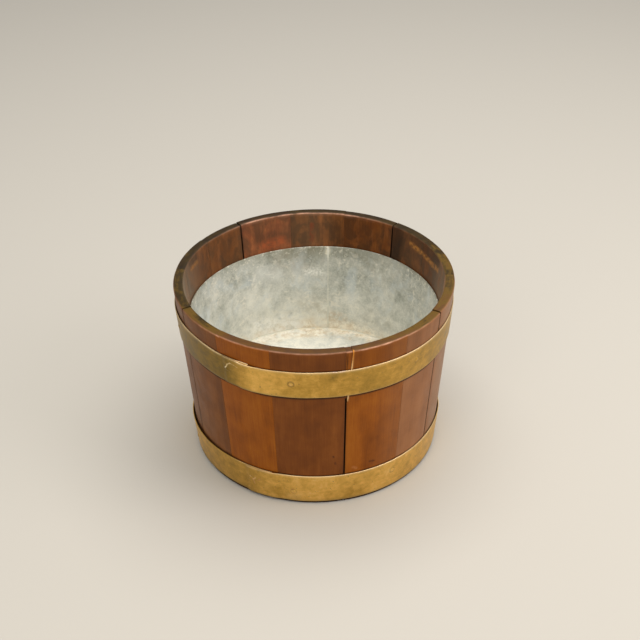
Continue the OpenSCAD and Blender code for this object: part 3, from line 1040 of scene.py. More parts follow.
@dataclass(frozen=True)
class Band:
    """A brass strip bent round the tub and lapped over its own tail.

    Args:
        name: upper_band or lower_band.
        low: Height of its lower edge.
        width: Height of the strip.
        lap_at: Bearing of its outer end.
        pins: Its pins, apart from the one through the lap.
        slack: Where it stands off.
        levels: How far it lies above its even height, by bearing on from the outer end.
        polish: How much brighter or duller it is than elsewhere, by bearing, from polish and patina and from
            a painted reflection.
        edge_wear_and_highlight: How bright its edges are, rubbed and with a painted highlight, by bearing.
        nicks: Each nick in its upper edge, as bearing, half length in degrees and depth.
        marks: Scratches and stains.
        thick: Thickness of the strip.
        gap: Its distance from the staves.
        lap: How far it laps over its tail.
        climb: Length over which it climbs onto the tail.
        feather: Length over which its outer end thins.
        lap_pin_in: Distance of the lap's pin from the outer end.
        lap_pin_rise: Height of that pin, as for the others.
        lower_edge_shade: How much painted shade darkens its lower edge all round.
        ply_gap: Gap between the lap and the tail under it.
        corner: Rounding of its edges.
        pin_edge: Distance from a pin's axis at which dirt rings it.
        drawn_in: How far a pin draws the strip in.
    """

    name: str
    low: float
    width: float
    lap_at: float
    pins: tuple[Pin, ...]
    slack: tuple[Slack, ...]
    levels: Curve
    polish: Curve
    edge_wear_and_highlight: Curve
    nicks: tuple[tuple[float, float, float], ...] = ()
    marks: tuple[Mark, ...] = ()
    thick: float = 1.5 * MM
    gap: float = 0.1 * MM
    lap: float = 45 * MM
    climb: float = 18 * MM
    feather: float = 7 * MM
    lap_pin_in: float = 8 * MM
    lap_pin_rise: float = 0.06
    lower_edge_shade: float = 0.0
    ply_gap: float = 0.05 * MM
    corner: float = 0.55 * MM
    pin_edge: float = 4.5 * MM
    drawn_in: float = 0.22 * MM

    @property
    def radius(self) -> float:
        """Radius of the staves behind the band's middle line."""
        return float(TUB.outer(self.low + self.width / 2.0))

    @property
    def high(self) -> float:
        """Height of its upper edge."""
        return self.low + self.width

    @property
    def seed(self) -> int:
        """Picks the waves of its edges and face."""
        return 11 if self.name == "upper_band" else 12

    def degrees(self, length: float) -> float:
        """Degrees that a length spans round the tub behind the band."""
        return math.degrees(length / self.radius)

    @property
    def tail(self) -> float:
        """Bearing where the covered tail ends."""
        return self.lap_at + self.degrees(self.lap)

    def level(self, bearings: Array) -> Array:
        """How far the strip lies above its even height, by bearing on from its outer end."""
        return eased_line(bearings, self.levels)

    def seen_level(self, bearings: Array) -> Array:
        """The level of the outer layer, for bearings of any turn."""
        return self.level(self.lap_at + (bearings - self.lap_at) % 360.0)

    def all_pins(self) -> tuple[Pin, ...]:
        """The lap's own pin and then the others."""
        return (Pin(self.lap_at + self.degrees(self.lap_pin_in), self.lap_pin_rise, 0.1), *self.pins)

    def pin_height(self, pin: Pin) -> float:
        """Height of a pin above the floor."""
        return self.low + self.width * (0.5 + pin.up)

    def stand_off(self, bearings: Array, up: Array) -> Array:
        """How far the strip's inner face lies off the staves.

        Over the tail it is one thickness more, falling by a smooth step along the climb. Each slack
        stretch adds a bell that is fullest at the upper edge, and a faint ripple stays all round.

        Args:
            bearings: Bearings on from the outer end.
            up: Height on the strip, as a share of its width.

        Returns:
            The distance at each place.
        """
        over = 1.0 - smooth_step((bearings - self.tail) / self.degrees(self.climb))
        total = self.gap + (self.thick + self.ply_gap) * over
        for slack in self.slack:
            near = bell(turn_between(bearings, slack.bearing), slack.reach)
            total = total + slack.off * near * (0.3 + 0.7 * up)
        return total + 0.09 * MM * (1.0 + ripple(bearings / 9.0, up * 2.4, self.seed))

    def section(self) -> Array:
        """The strip's section with its rounded edges: distance outwards and height, anticlockwise.

        Returns:
            The section's points, one row each.
        """
        thick, width, corner = self.thick, self.width, self.corner
        corners = ((0.0, 0.0, corner), (thick, 0.0, corner), (thick, width, corner), (0.0, width, corner))
        return rounded_profile(corners, spacing=1.7 * MM, steps=4)

    def from_pin(self, pin: Pin, bearings: Array, z: Array) -> Array:
        """Distance along the strip's face from a pin's axis.

        Args:
            pin: The pin.
            bearings: Bearings of the places.
            z: Their heights.

        Returns:
            The distance of each place.
        """
        across = np.radians(turn_between(bearings, pin.bearing)) * self.radius
        return np.hypot(across, z - self.pin_height(pin))

    def notched(self, bearings: Array, share: Array, z: Array) -> Array:
        """Heights of the strip's surface after each nick has lowered the upper edge by a jagged bell.

        Args:
            bearings: Bearings of the places.
            share: How far up the strip they lie, from 0 to 1.
            z: Their heights without nicks.

        Returns:
            Their heights.
        """
        for bearing, half, depth in self.nicks:
            jag = 0.7 + 0.3 * np.sin(bearings * 9.0)
            at_edge = smooth_step(share * 12.0 - 11.0)
            z = z - depth * jag * bell(turn_between(bearings, bearing), half) * at_edge
        return z

    def shell(self) -> Shell:
        """The strip's surface: its rounded section carried from the outer end round to the tail's end.

        The section thins to a third at the outer end. Its edges rise and fall with the levels and a
        small ripple, and round each pin the strip is drawn in.

        Returns:
            The surface, with what the brass reads.
        """
        length = math.radians(360.0 + self.degrees(self.lap)) * self.radius
        s, depths = eased_run(length, 1.75 * MM, 0.4 * MM)
        loops = inset(self.section(), depths)
        off, up = loops[..., 0], loops[..., 1]
        off = off * (0.35 + 0.65 * smooth_step(s / self.feather))[:, None]
        bearings = (self.lap_at + np.degrees(s / self.radius))[:, None]
        share = up / self.width
        edge_wave = 0.22 * MM * ripple(bearings / 14.0, share, self.seed + 10)
        z = self.low + up + self.level(bearings) + edge_wave * (2.0 * share - 1.0)
        z = self.notched(bearings, share, z)

        pins = self.all_pins()
        away = [self.from_pin(pin, bearings, z) for pin in pins]
        rings = [pin.proud * bell(far - self.pin_edge, 0.9 * MM) for pin, far in zip(pins, away)]
        lift = self.stand_off(bearings, share) - self.drawn_in * bell(np.minimum.reduce(away), 6.5 * MM)

        turn = turn_between(bearings, 0.0)
        from_edge = np.minimum(up, self.width - up)
        outside = smooth_step(loops[..., 0] / self.thick * 2.0 - 0.6)
        # Rubbed edges with a painted highlight, brighter along the upper edge where the light falls
        rubbed_and_lit = np.exp(-from_edge / (1.3 * MM)) * (0.2 + 0.9 * smooth_step(share))
        # Painted shade along the lower edge, deepest just past the lap where the strip stands off
        under = self.lower_edge_shade + 0.7 * bell(turn_between(bearings, self.lap_at + 9.0), 20.0)
        under = np.minimum(under, 1.0) * np.exp(-up / (1.5 * MM))
        # Dirt rings the pins; painted shade lies on the strip's inner face and lower edge
        dirt = 0.65 * np.maximum.reduce(rings) * outside + 0.5 * (1.0 - outside) + under
        values = {
            "strip": np.stack((s[:, None] + 0.0 * up, up, off), axis=-1),
            # Polish and patina with a painted reflection, by bearing
            "polish": eased_line(turn, self.polish) + 0.0 * up,
            # Painted highlight and wear along the edges, by bearing
            "bare": np.clip(rubbed_and_lit * eased_line(turn, self.edge_wear_and_highlight), 0.0, 1.0),
            "grime": np.clip(dirt, 0.0, 1.0),
        }
        return Shell(place(bearings, TUB.outer(z) + lift + off, z), values=values)

    def make(self) -> None:
        """Builds, dresses and places the strip."""
        piece = build_piece(f"{self.name}_strip", [self.shell()])
        piece.data.materials.append(Brass(self.name, self.marks).build())
        settle(piece, "tub", "band_brass", self.name)


@dataclass(frozen=True)
class PinRow:
    """The pins through one band, each a low dome on a pointed shank.

    Args:
        band: The band.
        head_radius: Radius of a dome.
        head_height: Its height.
        shank: Radius of a shank.
        length: Its length.
        bedded: How far a head's edge lies in the brass.
    """

    band: Band
    head_radius: float = 4.0 * MM
    head_height: float = 1.3 * MM
    shank: float = 1.4 * MM
    length: float = 13 * MM
    bedded: float = 0.2 * MM

    def profile(self) -> Array:
        """Radius and height of a pin from the top of its dome down to its point.

        For a share t from 0 to 1 the dome's radius is t R and its height h (1 - 0.86 t^2.4), which
        leaves a low wall at the edge.

        Returns:
            The profile's points, one row each.
        """
        t = np.linspace(0.03, 0.97, 14)
        dome = np.stack((self.head_radius * t, self.head_height * (1.0 - 0.86 * t**2.4)), axis=1)
        rest = np.array((
            (self.head_radius, 0.10 * MM),
            (self.head_radius, 0.0),
            (self.head_radius * 0.96, -0.10 * MM),
            (self.shank, -0.12 * MM),
            (self.shank, 2.0 * self.shank - self.length),
            (self.shank / 4.0, -self.length),
        ))
        return np.concatenate((dome, rest))

    def shell(self, pin: Pin, turn: int) -> Shell:
        """One pin turned round its own axis, which stands square to the tub's face at its place.

        A point at angle a and radius r lies at base + r (cos a side + sin a up) + h out, where r is made
        a little uneven by two sines of a.

        Args:
            pin: Where it is.
            turn: Shifts the unevenness, so that no two pins are the same.

        Returns:
            The pin's surface.
        """
        profile = self.profile()
        around = np.linspace(0.0, 2.0 * math.pi, 36, endpoint=False)
        b, lean, height = math.radians(pin.bearing), math.atan(TUB.slope), self.band.pin_height(pin)
        out = np.array((math.sin(b) * math.cos(lean), -math.cos(b) * math.cos(lean), -math.sin(lean)))
        side = np.array((math.cos(b), math.sin(b), 0.0))
        up = np.cross(side, out)
        share = np.array([[(height - self.band.low) / self.band.width]])
        here = np.array([[pin.bearing]])
        seat = float(self.band.stand_off(here, share)[0, 0]) + self.band.thick
        sunk = (1.0 - pin.proud) * self.head_height * 0.6
        base = TUB.point(pin.bearing, height) + out * (seat - self.bedded - sunk)
        uneven = 1.0 + 0.035 * np.sin(2.0 * around + turn) + 0.02 * np.sin(5.0 * around + 2.0 * turn)
        r = (profile[:, :1] * uneven)[..., None]
        points = base + r * (np.cos(around)[:, None] * side + np.sin(around)[:, None] * up)
        points = points + profile[:, 1:, None] * out
        from_axis = profile[:, :1] / self.head_radius + 0.0 * around
        # Pins take their band's polish and painted reflection
        polish = eased_line(turn_between(here, 0.0), self.band.polish) + 0.15 * pin.proud
        values = {
            "strip": points - base,
            "polish": polish + 0.0 * from_axis,
            # Painted highlight on the dome's crown
            "bare": 0.3 * pin.proud**2 * bell(from_axis, 0.4),
            "grime": (0.1 + 0.55 * pin.proud) * smooth_step((from_axis - 0.74) / 0.26),
        }
        return Shell(points, values=values)

    def make(self) -> None:
        """Builds, dresses and places the pins."""
        shells = [self.shell(pin, i) for i, pin in enumerate(self.band.all_pins())]
        piece = build_piece(f"{self.band.name}_pin_heads", shells)
        piece.data.materials.append(Brass(f"{self.band.name}_pin_brass").build())
        settle(piece, "tub", "pin_brass", f"{self.band.name}_pins")


# Wooden pieces


@dataclass(frozen=True)
class StaveShape:
    """Where one stave lies and what is particular to it.

    Args:
        number: Counted from the left of the front, towards +X.
        start: Bearing of its first side, after the joint's gap.
        end: Bearing of its last side.
        tone: Finish.
        rise: How much higher than the others its end at the rim stands.
    """

    number: int
    start: float
    end: float
    tone: Tone
    rise: float

    @property
    def name(self) -> str:
        """Name of the solid that the piece stands for."""
        return f"stave_{self.number:02d}"

    @property
    def width(self) -> float:
        """Its width at the tub's middle radius."""
        return math.radians(self.end - self.start) * TUB.middle


@dataclass(frozen=True)
class Split:
    """A crack that runs down from the rim close to a stave's first side, and parts a sliver from it.

    Args:
        stave: Number of the stave.
        foot: Height where it meets the joint.
        reach: Its distance from the stave's side at the rim.
        fade: How far from the side the wood gives way for it.
        gap: Width of the crack.
        sliver_foot: Height of the sliver's lower end.
        sliver_start: Where the sliver's outer side is, measured from the stave's side.
        drop: How much lower than the stave the sliver stands at the rim.
        drop_from: Height from which that drop grows, and over which height.
        bare_from: Height from which the varnish has gone along the crack, and over which it goes.
        bare_thins: Height from which some of it is left again, and over which it comes back.
    """

    stave: int = 4
    foot: float = 201 * MM
    reach: float = 7.9 * MM
    fade: float = 34 * MM
    gap: float = 0.9 * MM
    sliver_foot: float = 212 * MM
    sliver_start: float = -1.85 * MM
    drop: float = 0.3 * MM
    drop_from: tuple[float, float] = (240 * MM, 60 * MM)
    bare_from: tuple[float, float] = (206 * MM, 5 * MM)
    bare_thins: tuple[float, float] = (268 * MM, 24 * MM)

    def path(self, z: Array) -> Array:
        """The crack's distance from the stave's side: its reach times the share of its height to 0.8."""
        return self.reach * np.clip((z - self.foot) / (TUB.height - self.foot), 0.0, 1.0) ** 0.8


@dataclass(frozen=True)
class Staves:
    """The fourteen staves, each a tapered block bent to the tub's round, with eased arrises.

    Args:
        bands: The upper and the lower band, whose edges leave grime on the wood.
        marks: Bruises, scuffs and stains, by finish.
        joints: Each joint's bearing, how open it is from 0 to 1, and the finish of the stave after it.
        rises: How much higher or lower a stave's end at the rim stands, in mm, by number.
        rim_age_and_reflection: Where the rim's colour lies on its scale from dark olive to grey brown, by
            bearing: its aged end grain with a painted reflection of dark surroundings.
        outer_rub_and_highlight: How rubbed the rim's outer arris is and how strong its painted highlight, by
            bearing.
        inner_rub_and_highlight: The same for its inner arris, by bearing.
        scuffs: Height in mm of the line above which the inner faces are darkened, by bearing.
        haze: How strong the painted grey sheen on the inner faces is, by bearing.
        sheen: How strong the painted grey sheen on the outer faces is, by bearing.
        gloom: How much painted shade darkens the inner faces, by bearing.
        crest: How much darker the outer faces above the upper band are, by bearing.
        tightness: How narrow the line of painted shade above the lower band is, by bearing.
        rim_slant: Bearing and reach of the stretch where the rim is browner outside than inside.
        crest_from: Height from which the crest is dark, and over which it darkens.
        deep_shade: Number of the stave that is dark inside beside its open joint, the bearing from
            which it darkens, and over how many degrees.
        split: The one crack.
        open_joint: Gap of a fully opened joint.
        arris: Rounding of the edges along the joints.
        rim_round: Rounding of the rim's two edges.
        croze: Height, width and depth of the groove that holds the head.
        foot_bevel: Bevel inside the foot.
        crown: How much fuller a stave's middle is than its sides.
    """

    bands: tuple[Band, Band]
    marks: Mapping[Tone, tuple[Mark, ...]]
    joints: tuple[tuple[float, float, Tone], ...] = (
        (-65, 0.65, Tone.UMBER),
        (-41.5, 0, Tone.AMBER),
        (-17.5, 0, Tone.BROWN),
        (12, 1, Tone.AMBER),
        (38, 0, Tone.TAN),
        (59, 0.75, Tone.TAN),
        (88.5, 0, Tone.BROWN),
        (118, 0, Tone.UMBER),
        (139.5, 1, Tone.BROWN),
        (165, 0, Tone.UMBER),
        (191, 0, Tone.RED),
        (216.5, 1, Tone.BROWN),
        (238, 0, Tone.BROWN),
        (263.5, 0, Tone.UMBER),
    )
    rises: tuple[tuple[int, float], ...] = (
        (1, -0.7), (2, -0.2), (3, -0.1), (4, -0.7), (5, -1.2), (9, -0.6), (12, -0.9),
    )
    rim_age_and_reflection: Curve = (
        (-180, 0.14), (-120, 0.16), (-70, 0.30), (-55, 0.48), (-42, 0.60), (-36, 0.86), (18, 0.86),
        (30, 0.66), (56, 0.48), (60, 0.66), (72, 0.50), (100, 0.44), (130, 0.20), (180, 0.14),
    )
    # How strong the wear and painted highlight are on the rim's outer and inner arrises
    outer_rub_and_highlight: Curve = (
        (-180, 0), (-80, 0.05), (-55, 0.35), (-40, 0.65), (12, 0.65), (18, 1.3), (34, 1.2), (44, 0.55),
        (60, 0.2), (100, 0),
    )
    inner_rub_and_highlight: Curve = (
        (-148, 1), (-142, 0.3), (-115, 0.12), (-80, 0), (80, 0), (120, 0.1), (139, 0.15), (150, 0.5),
        (168, 1),
    )
    scuffs: Curve = (
        (-113, 310), (-111.5, 284), (-104, 285), (-100, 310), (98, 310), (101.8, 281.4), (109.2, 277.9),
        (119.6, 279.6), (127.3, 284), (131, 310),
    )
    haze: Curve = (
        (-180, 0.12), (-150, 0.09), (-122, 0.10), (-97, 0.40), (-78, 0.58), (-50, 0.15), (50, 0.15),
        (75, 0.30), (95, 0.34), (112, 0.10), (150, 0), (165, 0), (180, 0.12),
    )
    sheen: Curve = (
        (-180, 0), (-100, 0.10), (-65, 0.04), (-42, 0), (22, 0), (36, 0.10), (58, 0.10), (64, 0.30),
        (85, 0.36), (112, 0),
    )
    gloom: Curve = (
        (-144, 0), (-136, 0.24), (-104, 0.30), (-90, 0.06), (-70, 0), (92, 0), (118, 0.30), (130, 0.32),
        (156, 0.16), (168, 0),
    )
    crest: Curve = (
        (-18, 0), (-14, 0.04), (11, 0.04), (14, 0.23), (37, 0.21), (40, 0.15), (57, 0.12), (62, 0),
    )
    tightness: Curve = (
        (-180, 0.8), (-90, 0.45), (-48, 0.5), (-25, 1), (48, 1), (72, 0.4), (95, 0.4), (180, 0.8),
    )
    rim_slant: tuple[float, float] = (-54, 12)
    crest_from: tuple[float, float] = (258 * MM, 8 * MM)
    deep_shade: tuple[int, float, float] = (8, 131, 4)
    split: Split = Split()
    open_joint: float = 2 * MM
    arris: float = 0.5 * MM
    rim_round: float = 2.5 * MM
    croze: tuple[float, float, float] = (63 * MM, 8 * MM, 5 * MM)
    foot_bevel: float = 4 * MM
    crown: float = 0.35 * MM

    def shapes(self) -> list[StaveShape]:
        """Every stave between its two joints, each pulled back by half of the joint's gap.

        Returns:
            The staves, counted from the left of the front.
        """
        shapes, rises = [], dict(self.rises)
        for i, (bearing, gap, tone) in enumerate(self.joints):
            end, end_gap, _ = self.joints[(i + 1) % len(self.joints)]
            end += 360.0 if end < bearing else 0.0
            pads = [math.degrees(g * self.open_joint / 2.0 / TUB.middle) for g in (gap, end_gap)]
            rise = rises.get(i + 1, 0.0) * MM
            shapes.append(StaveShape(i + 1, bearing + pads[0], end - pads[1], tone, rise))
        return shapes

    def section(self) -> Array:
        """A stave's section from the axis outwards and up, with its grooved inner face.

        Returns:
            The section's points, one row each.
        """
        low, width, depth = self.croze
        high, small = low + width, 0.9 * MM
        corners = (
            (TUB.outer(0.0), 0.0, small),
            (TUB.outer(TUB.height), TUB.height, self.rim_round),
            (TUB.inner(TUB.height), TUB.height, self.rim_round),
            (TUB.inner(high), high, small),
            (TUB.inner(high) + depth, high, 0.2 * MM),
            (TUB.inner(low) + depth, low, 0.2 * MM),
            (TUB.inner(low), low, small),
            (TUB.inner(self.foot_bevel), self.foot_bevel, small),
            (TUB.inner(0.0) + self.foot_bevel, 0.0, small),
        )
        return rounded_profile(corners, spacing=4.5 * MM)

    def sliver_section(self) -> Array:
        """The upper end of the section, as far down as the sliver reaches.

        Returns:
            The section's points, one row each.
        """
        low, small = self.split.sliver_foot, 0.4 * MM
        corners = (
            (TUB.outer(low), low, small),
            (TUB.outer(TUB.height), TUB.height, self.rim_round),
            (TUB.inner(TUB.height), TUB.height, self.rim_round),
            (TUB.inner(low), low, small),
        )
        return rounded_profile(corners, spacing=4.5 * MM)

    def joint_dirt(self, shape: StaveShape, x: Array) -> Array:
        """Dirt beside the joints, full at an open one, which falls off by an exponential.

        Args:
            shape: The stave.
            x: Distance from its first side.

        Returns:
            How dirty the wood is.
        """
        count, reach = len(self.joints), 1.6 * MM
        sides = (shape.number - 1, shape.number)
        first, last = (0.1 + 0.9 * self.joints[i % count][1] ** 0.4 for i in sides)
        return first * np.exp(-np.abs(x) / reach) + last * np.exp(-np.abs(shape.width - x) / reach)

    def surface(self, shape: StaveShape, loops: Array, x: Array) -> Shell:
        """Bends loops round the tub and stores what the finish reads.

        The faces fall away by crown times a^2, where a goes from -1 to 1 across the stave, and a small
        ripple, always inwards, keeps them from being flat.

        Args:
            shape: The stave.
            loops: Radius and height, as [loop, point, 2].
            x: Distance from the stave's first side, as [loop, point].

        Returns:
            The surface.
        """
        r, z = loops[..., 0], loops[..., 1]
        deep = TUB.outer(z) - r
        across = 2.0 * x / shape.width - 1.0
        uneven = 1.4 + ripple(x / (26 * MM), z / (60 * MM), 100 + shape.number)
        fall = self.crown * across**2 + 0.07 * MM * uneven
        r = r - (1.0 - 2.0 * smooth_step(deep / TUB.wall)) * fall
        bearings = shape.start + np.degrees(x / TUB.middle)
        turn = turn_between(bearings, 0.0)
        inside = smooth_step((deep / TUB.wall - 0.6) / 0.3)

        # Painted highlight with wear on the rim's outer arris at the front and on its inner arris at the
        # back
        from_edge = 0.75 * MM
        up = z - (TUB.height - from_edge)
        outer = bell(np.hypot(deep - from_edge, up), 1.2 * MM) * eased_line(turn, self.outer_rub_and_highlight)
        inner = bell(np.hypot(TUB.wall - from_edge - deep, up), 1.3 * MM) * eased_line(turn, self.inner_rub_and_highlight)
        slant_at, slant_reach = self.rim_slant
        slant = 0.45 * (0.5 - deep / TUB.wall) * bell(turn - slant_at, slant_reach)
        crest_from, crest_over = self.crest_from
        crest = smooth_step((z - crest_from) / crest_over) * eased_line(turn, self.crest)

        upper, lower = self.bands
        level = upper.seen_level(bearings)
        above_lower = (z - lower.high - lower.seen_level(bearings)) * eased_line(turn, self.tightness)
        values = {
            "grain": np.stack((x - shape.width / 2.0 + 0.37 * shape.number, deep, z), axis=-1),
            "edge": self.joint_dirt(shape, x),
            "rim": smooth_step((z - TUB.height + 1.6 * MM) / (1.5 * MM)),
            "inside": inside,
            "arris": outer + inner,
            # Aged end grain with a painted reflection, by bearing
            "age": eased_line(turn, self.rim_age_and_reflection) + slant,
            # Painted shade on the inner faces, and the darker crest above the upper band outside
            "shade": inside * self.shade(shape, turn, z) + (1.0 - inside) * crest,
            # Painted grey sheen, inside and outside, by bearing
            "haze": inside * eased_line(turn, self.haze) + (1.0 - inside) * eased_line(turn, self.sheen),
            # Bare wood and a painted highlight along the crack
            "bare": self.bare(shape, x, z, deep),
            "bands": np.stack((z - upper.low - level, z - upper.high - level, above_lower), axis=-1),
        }
        return Shell(place(bearings, r, z + shape.rise * (z / TUB.height) ** 8), values=values)

    def shade(self, shape: StaveShape, turn: Array, z: Array) -> Array:
        """Where the inner faces are dark: by bearing, above the scuffs, and beside one open joint.

        Args:
            shape: The stave.
            turn: Bearings from -180 to 180.
            z: Heights.

        Returns:
            How dark they are, from 0 to 1.
        """
        line = eased_line(turn, self.scuffs) * MM
        above = np.maximum(0.6 * smooth_step((z - line) / (3 * MM)), eased_line(turn, self.gloom))
        number, bearing, degrees = self.deep_shade
        beside = 0.9 * smooth_step((turn - bearing) / degrees) if shape.number == number else 0.0
        return np.maximum(above, beside)

    def bare(self, shape: StaveShape, x: Array, z: Array, deep: Array) -> Array:
        """Where the varnish has gone along the split's edge, from the rim to just under the band, and where
        its painted highlight lies.

        Args:
            shape: The stave.
            x: Distance from its first side.
            z: Height.
            deep: Distance inwards from its outer face.

        Returns:
            How bare and how brightly highlighted the edge is, from 0 to 1.
        """
        if shape.number != self.split.stave:
            return 0.0 * z * x
        outside = 1.0 - smooth_step(deep / (4 * MM) - 0.4)
        from_crack = x - self.split.path(z)
        low, low_over = self.split.bare_from
        thin, thin_over = self.split.bare_thins
        along = smooth_step((z - low) / low_over) * (1.0 - 0.3 * smooth_step((z - thin) / thin_over))
        return bell(from_crack, 1.3 * MM) * (from_crack > -0.2 * MM) * outside * along

    def shell(self, shape: StaveShape) -> Shell:
        """One stave's surface: its section carried round from side to side.

        The section shrinks inwards along the quarter circle at each side, which rounds every arris.
        Where the split is, x becomes x + path(z) (1 - smooth step of x over its fade).

        Args:
            shape: The stave.

        Returns:
            The surface.
        """
        x, depths = eased_run(shape.width, 3.0 * MM, self.arris)
        loops = inset(self.section(), depths)
        across = x[:, None] + 0.0 * loops[..., 1]
        if shape.number == self.split.stave:
            kept = 1.0 - smooth_step(across / self.split.fade)
            across = across + self.split.path(loops[..., 1]) * kept
        return self.surface(shape, loops, across)

    def sliver(self, shape: StaveShape) -> Shell:
        """The sliver beside the split: the section's upper end, from its own side to the crack.

        Args:
            shape: The stave that it has parted from.

        Returns:
            The surface.
        """
        t, depths = eased_run(1.0, 0.25, 0.12, 3)
        loops = inset(self.sliver_section(), depths * 2.0 * MM)
        crack = self.split.path(loops[..., 1]) - self.split.gap
        start = self.split.sliver_start
        across = start + (crack - start) * t[:, None]
        low, over = self.split.drop_from
        loops[..., 1] -= self.split.drop * smooth_step((loops[..., 1] - low) / over)
        return self.surface(shape, loops, across)

    def make(self) -> None:
        """Builds, dresses and places every stave."""
        finishes = {tone: StaveWood(tone, self.marks.get(tone, ())).build() for tone in Tone}
        for shape in self.shapes():
            shells = [self.shell(shape)]
            if shape.number == self.split.stave:
                shells.append(self.sliver(shape))
            piece = build_piece(f"{shape.name}_wood", shells)
            piece.data.materials.append(finishes[shape.tone])
            settle(piece, "tub", shape.tone.slot, shape.name)


@dataclass(frozen=True)
class Head:
    """The boarded head and its dowels, which keep their solids and get their timber here."""

    boards: HeadWood = HeadWood("head_wood", srgb(98, 76, 48), srgb(168, 138, 96), (1.0, 0.03, 1.0))
    dowels: HeadWood = HeadWood("dowel_wood", srgb(150, 122, 80), srgb(204, 178, 130), (0.05, 1.0, 1.0))

    def make(self) -> None:
        """Gives the solids their finish."""
        for finish, prefix in ((self.boards, "head_board"), (self.dowels, "head_dowels")):
            material = finish.build()
            for name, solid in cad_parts.items():
                if name.startswith(prefix):
                    dress(solid, material)


# Zinc pieces


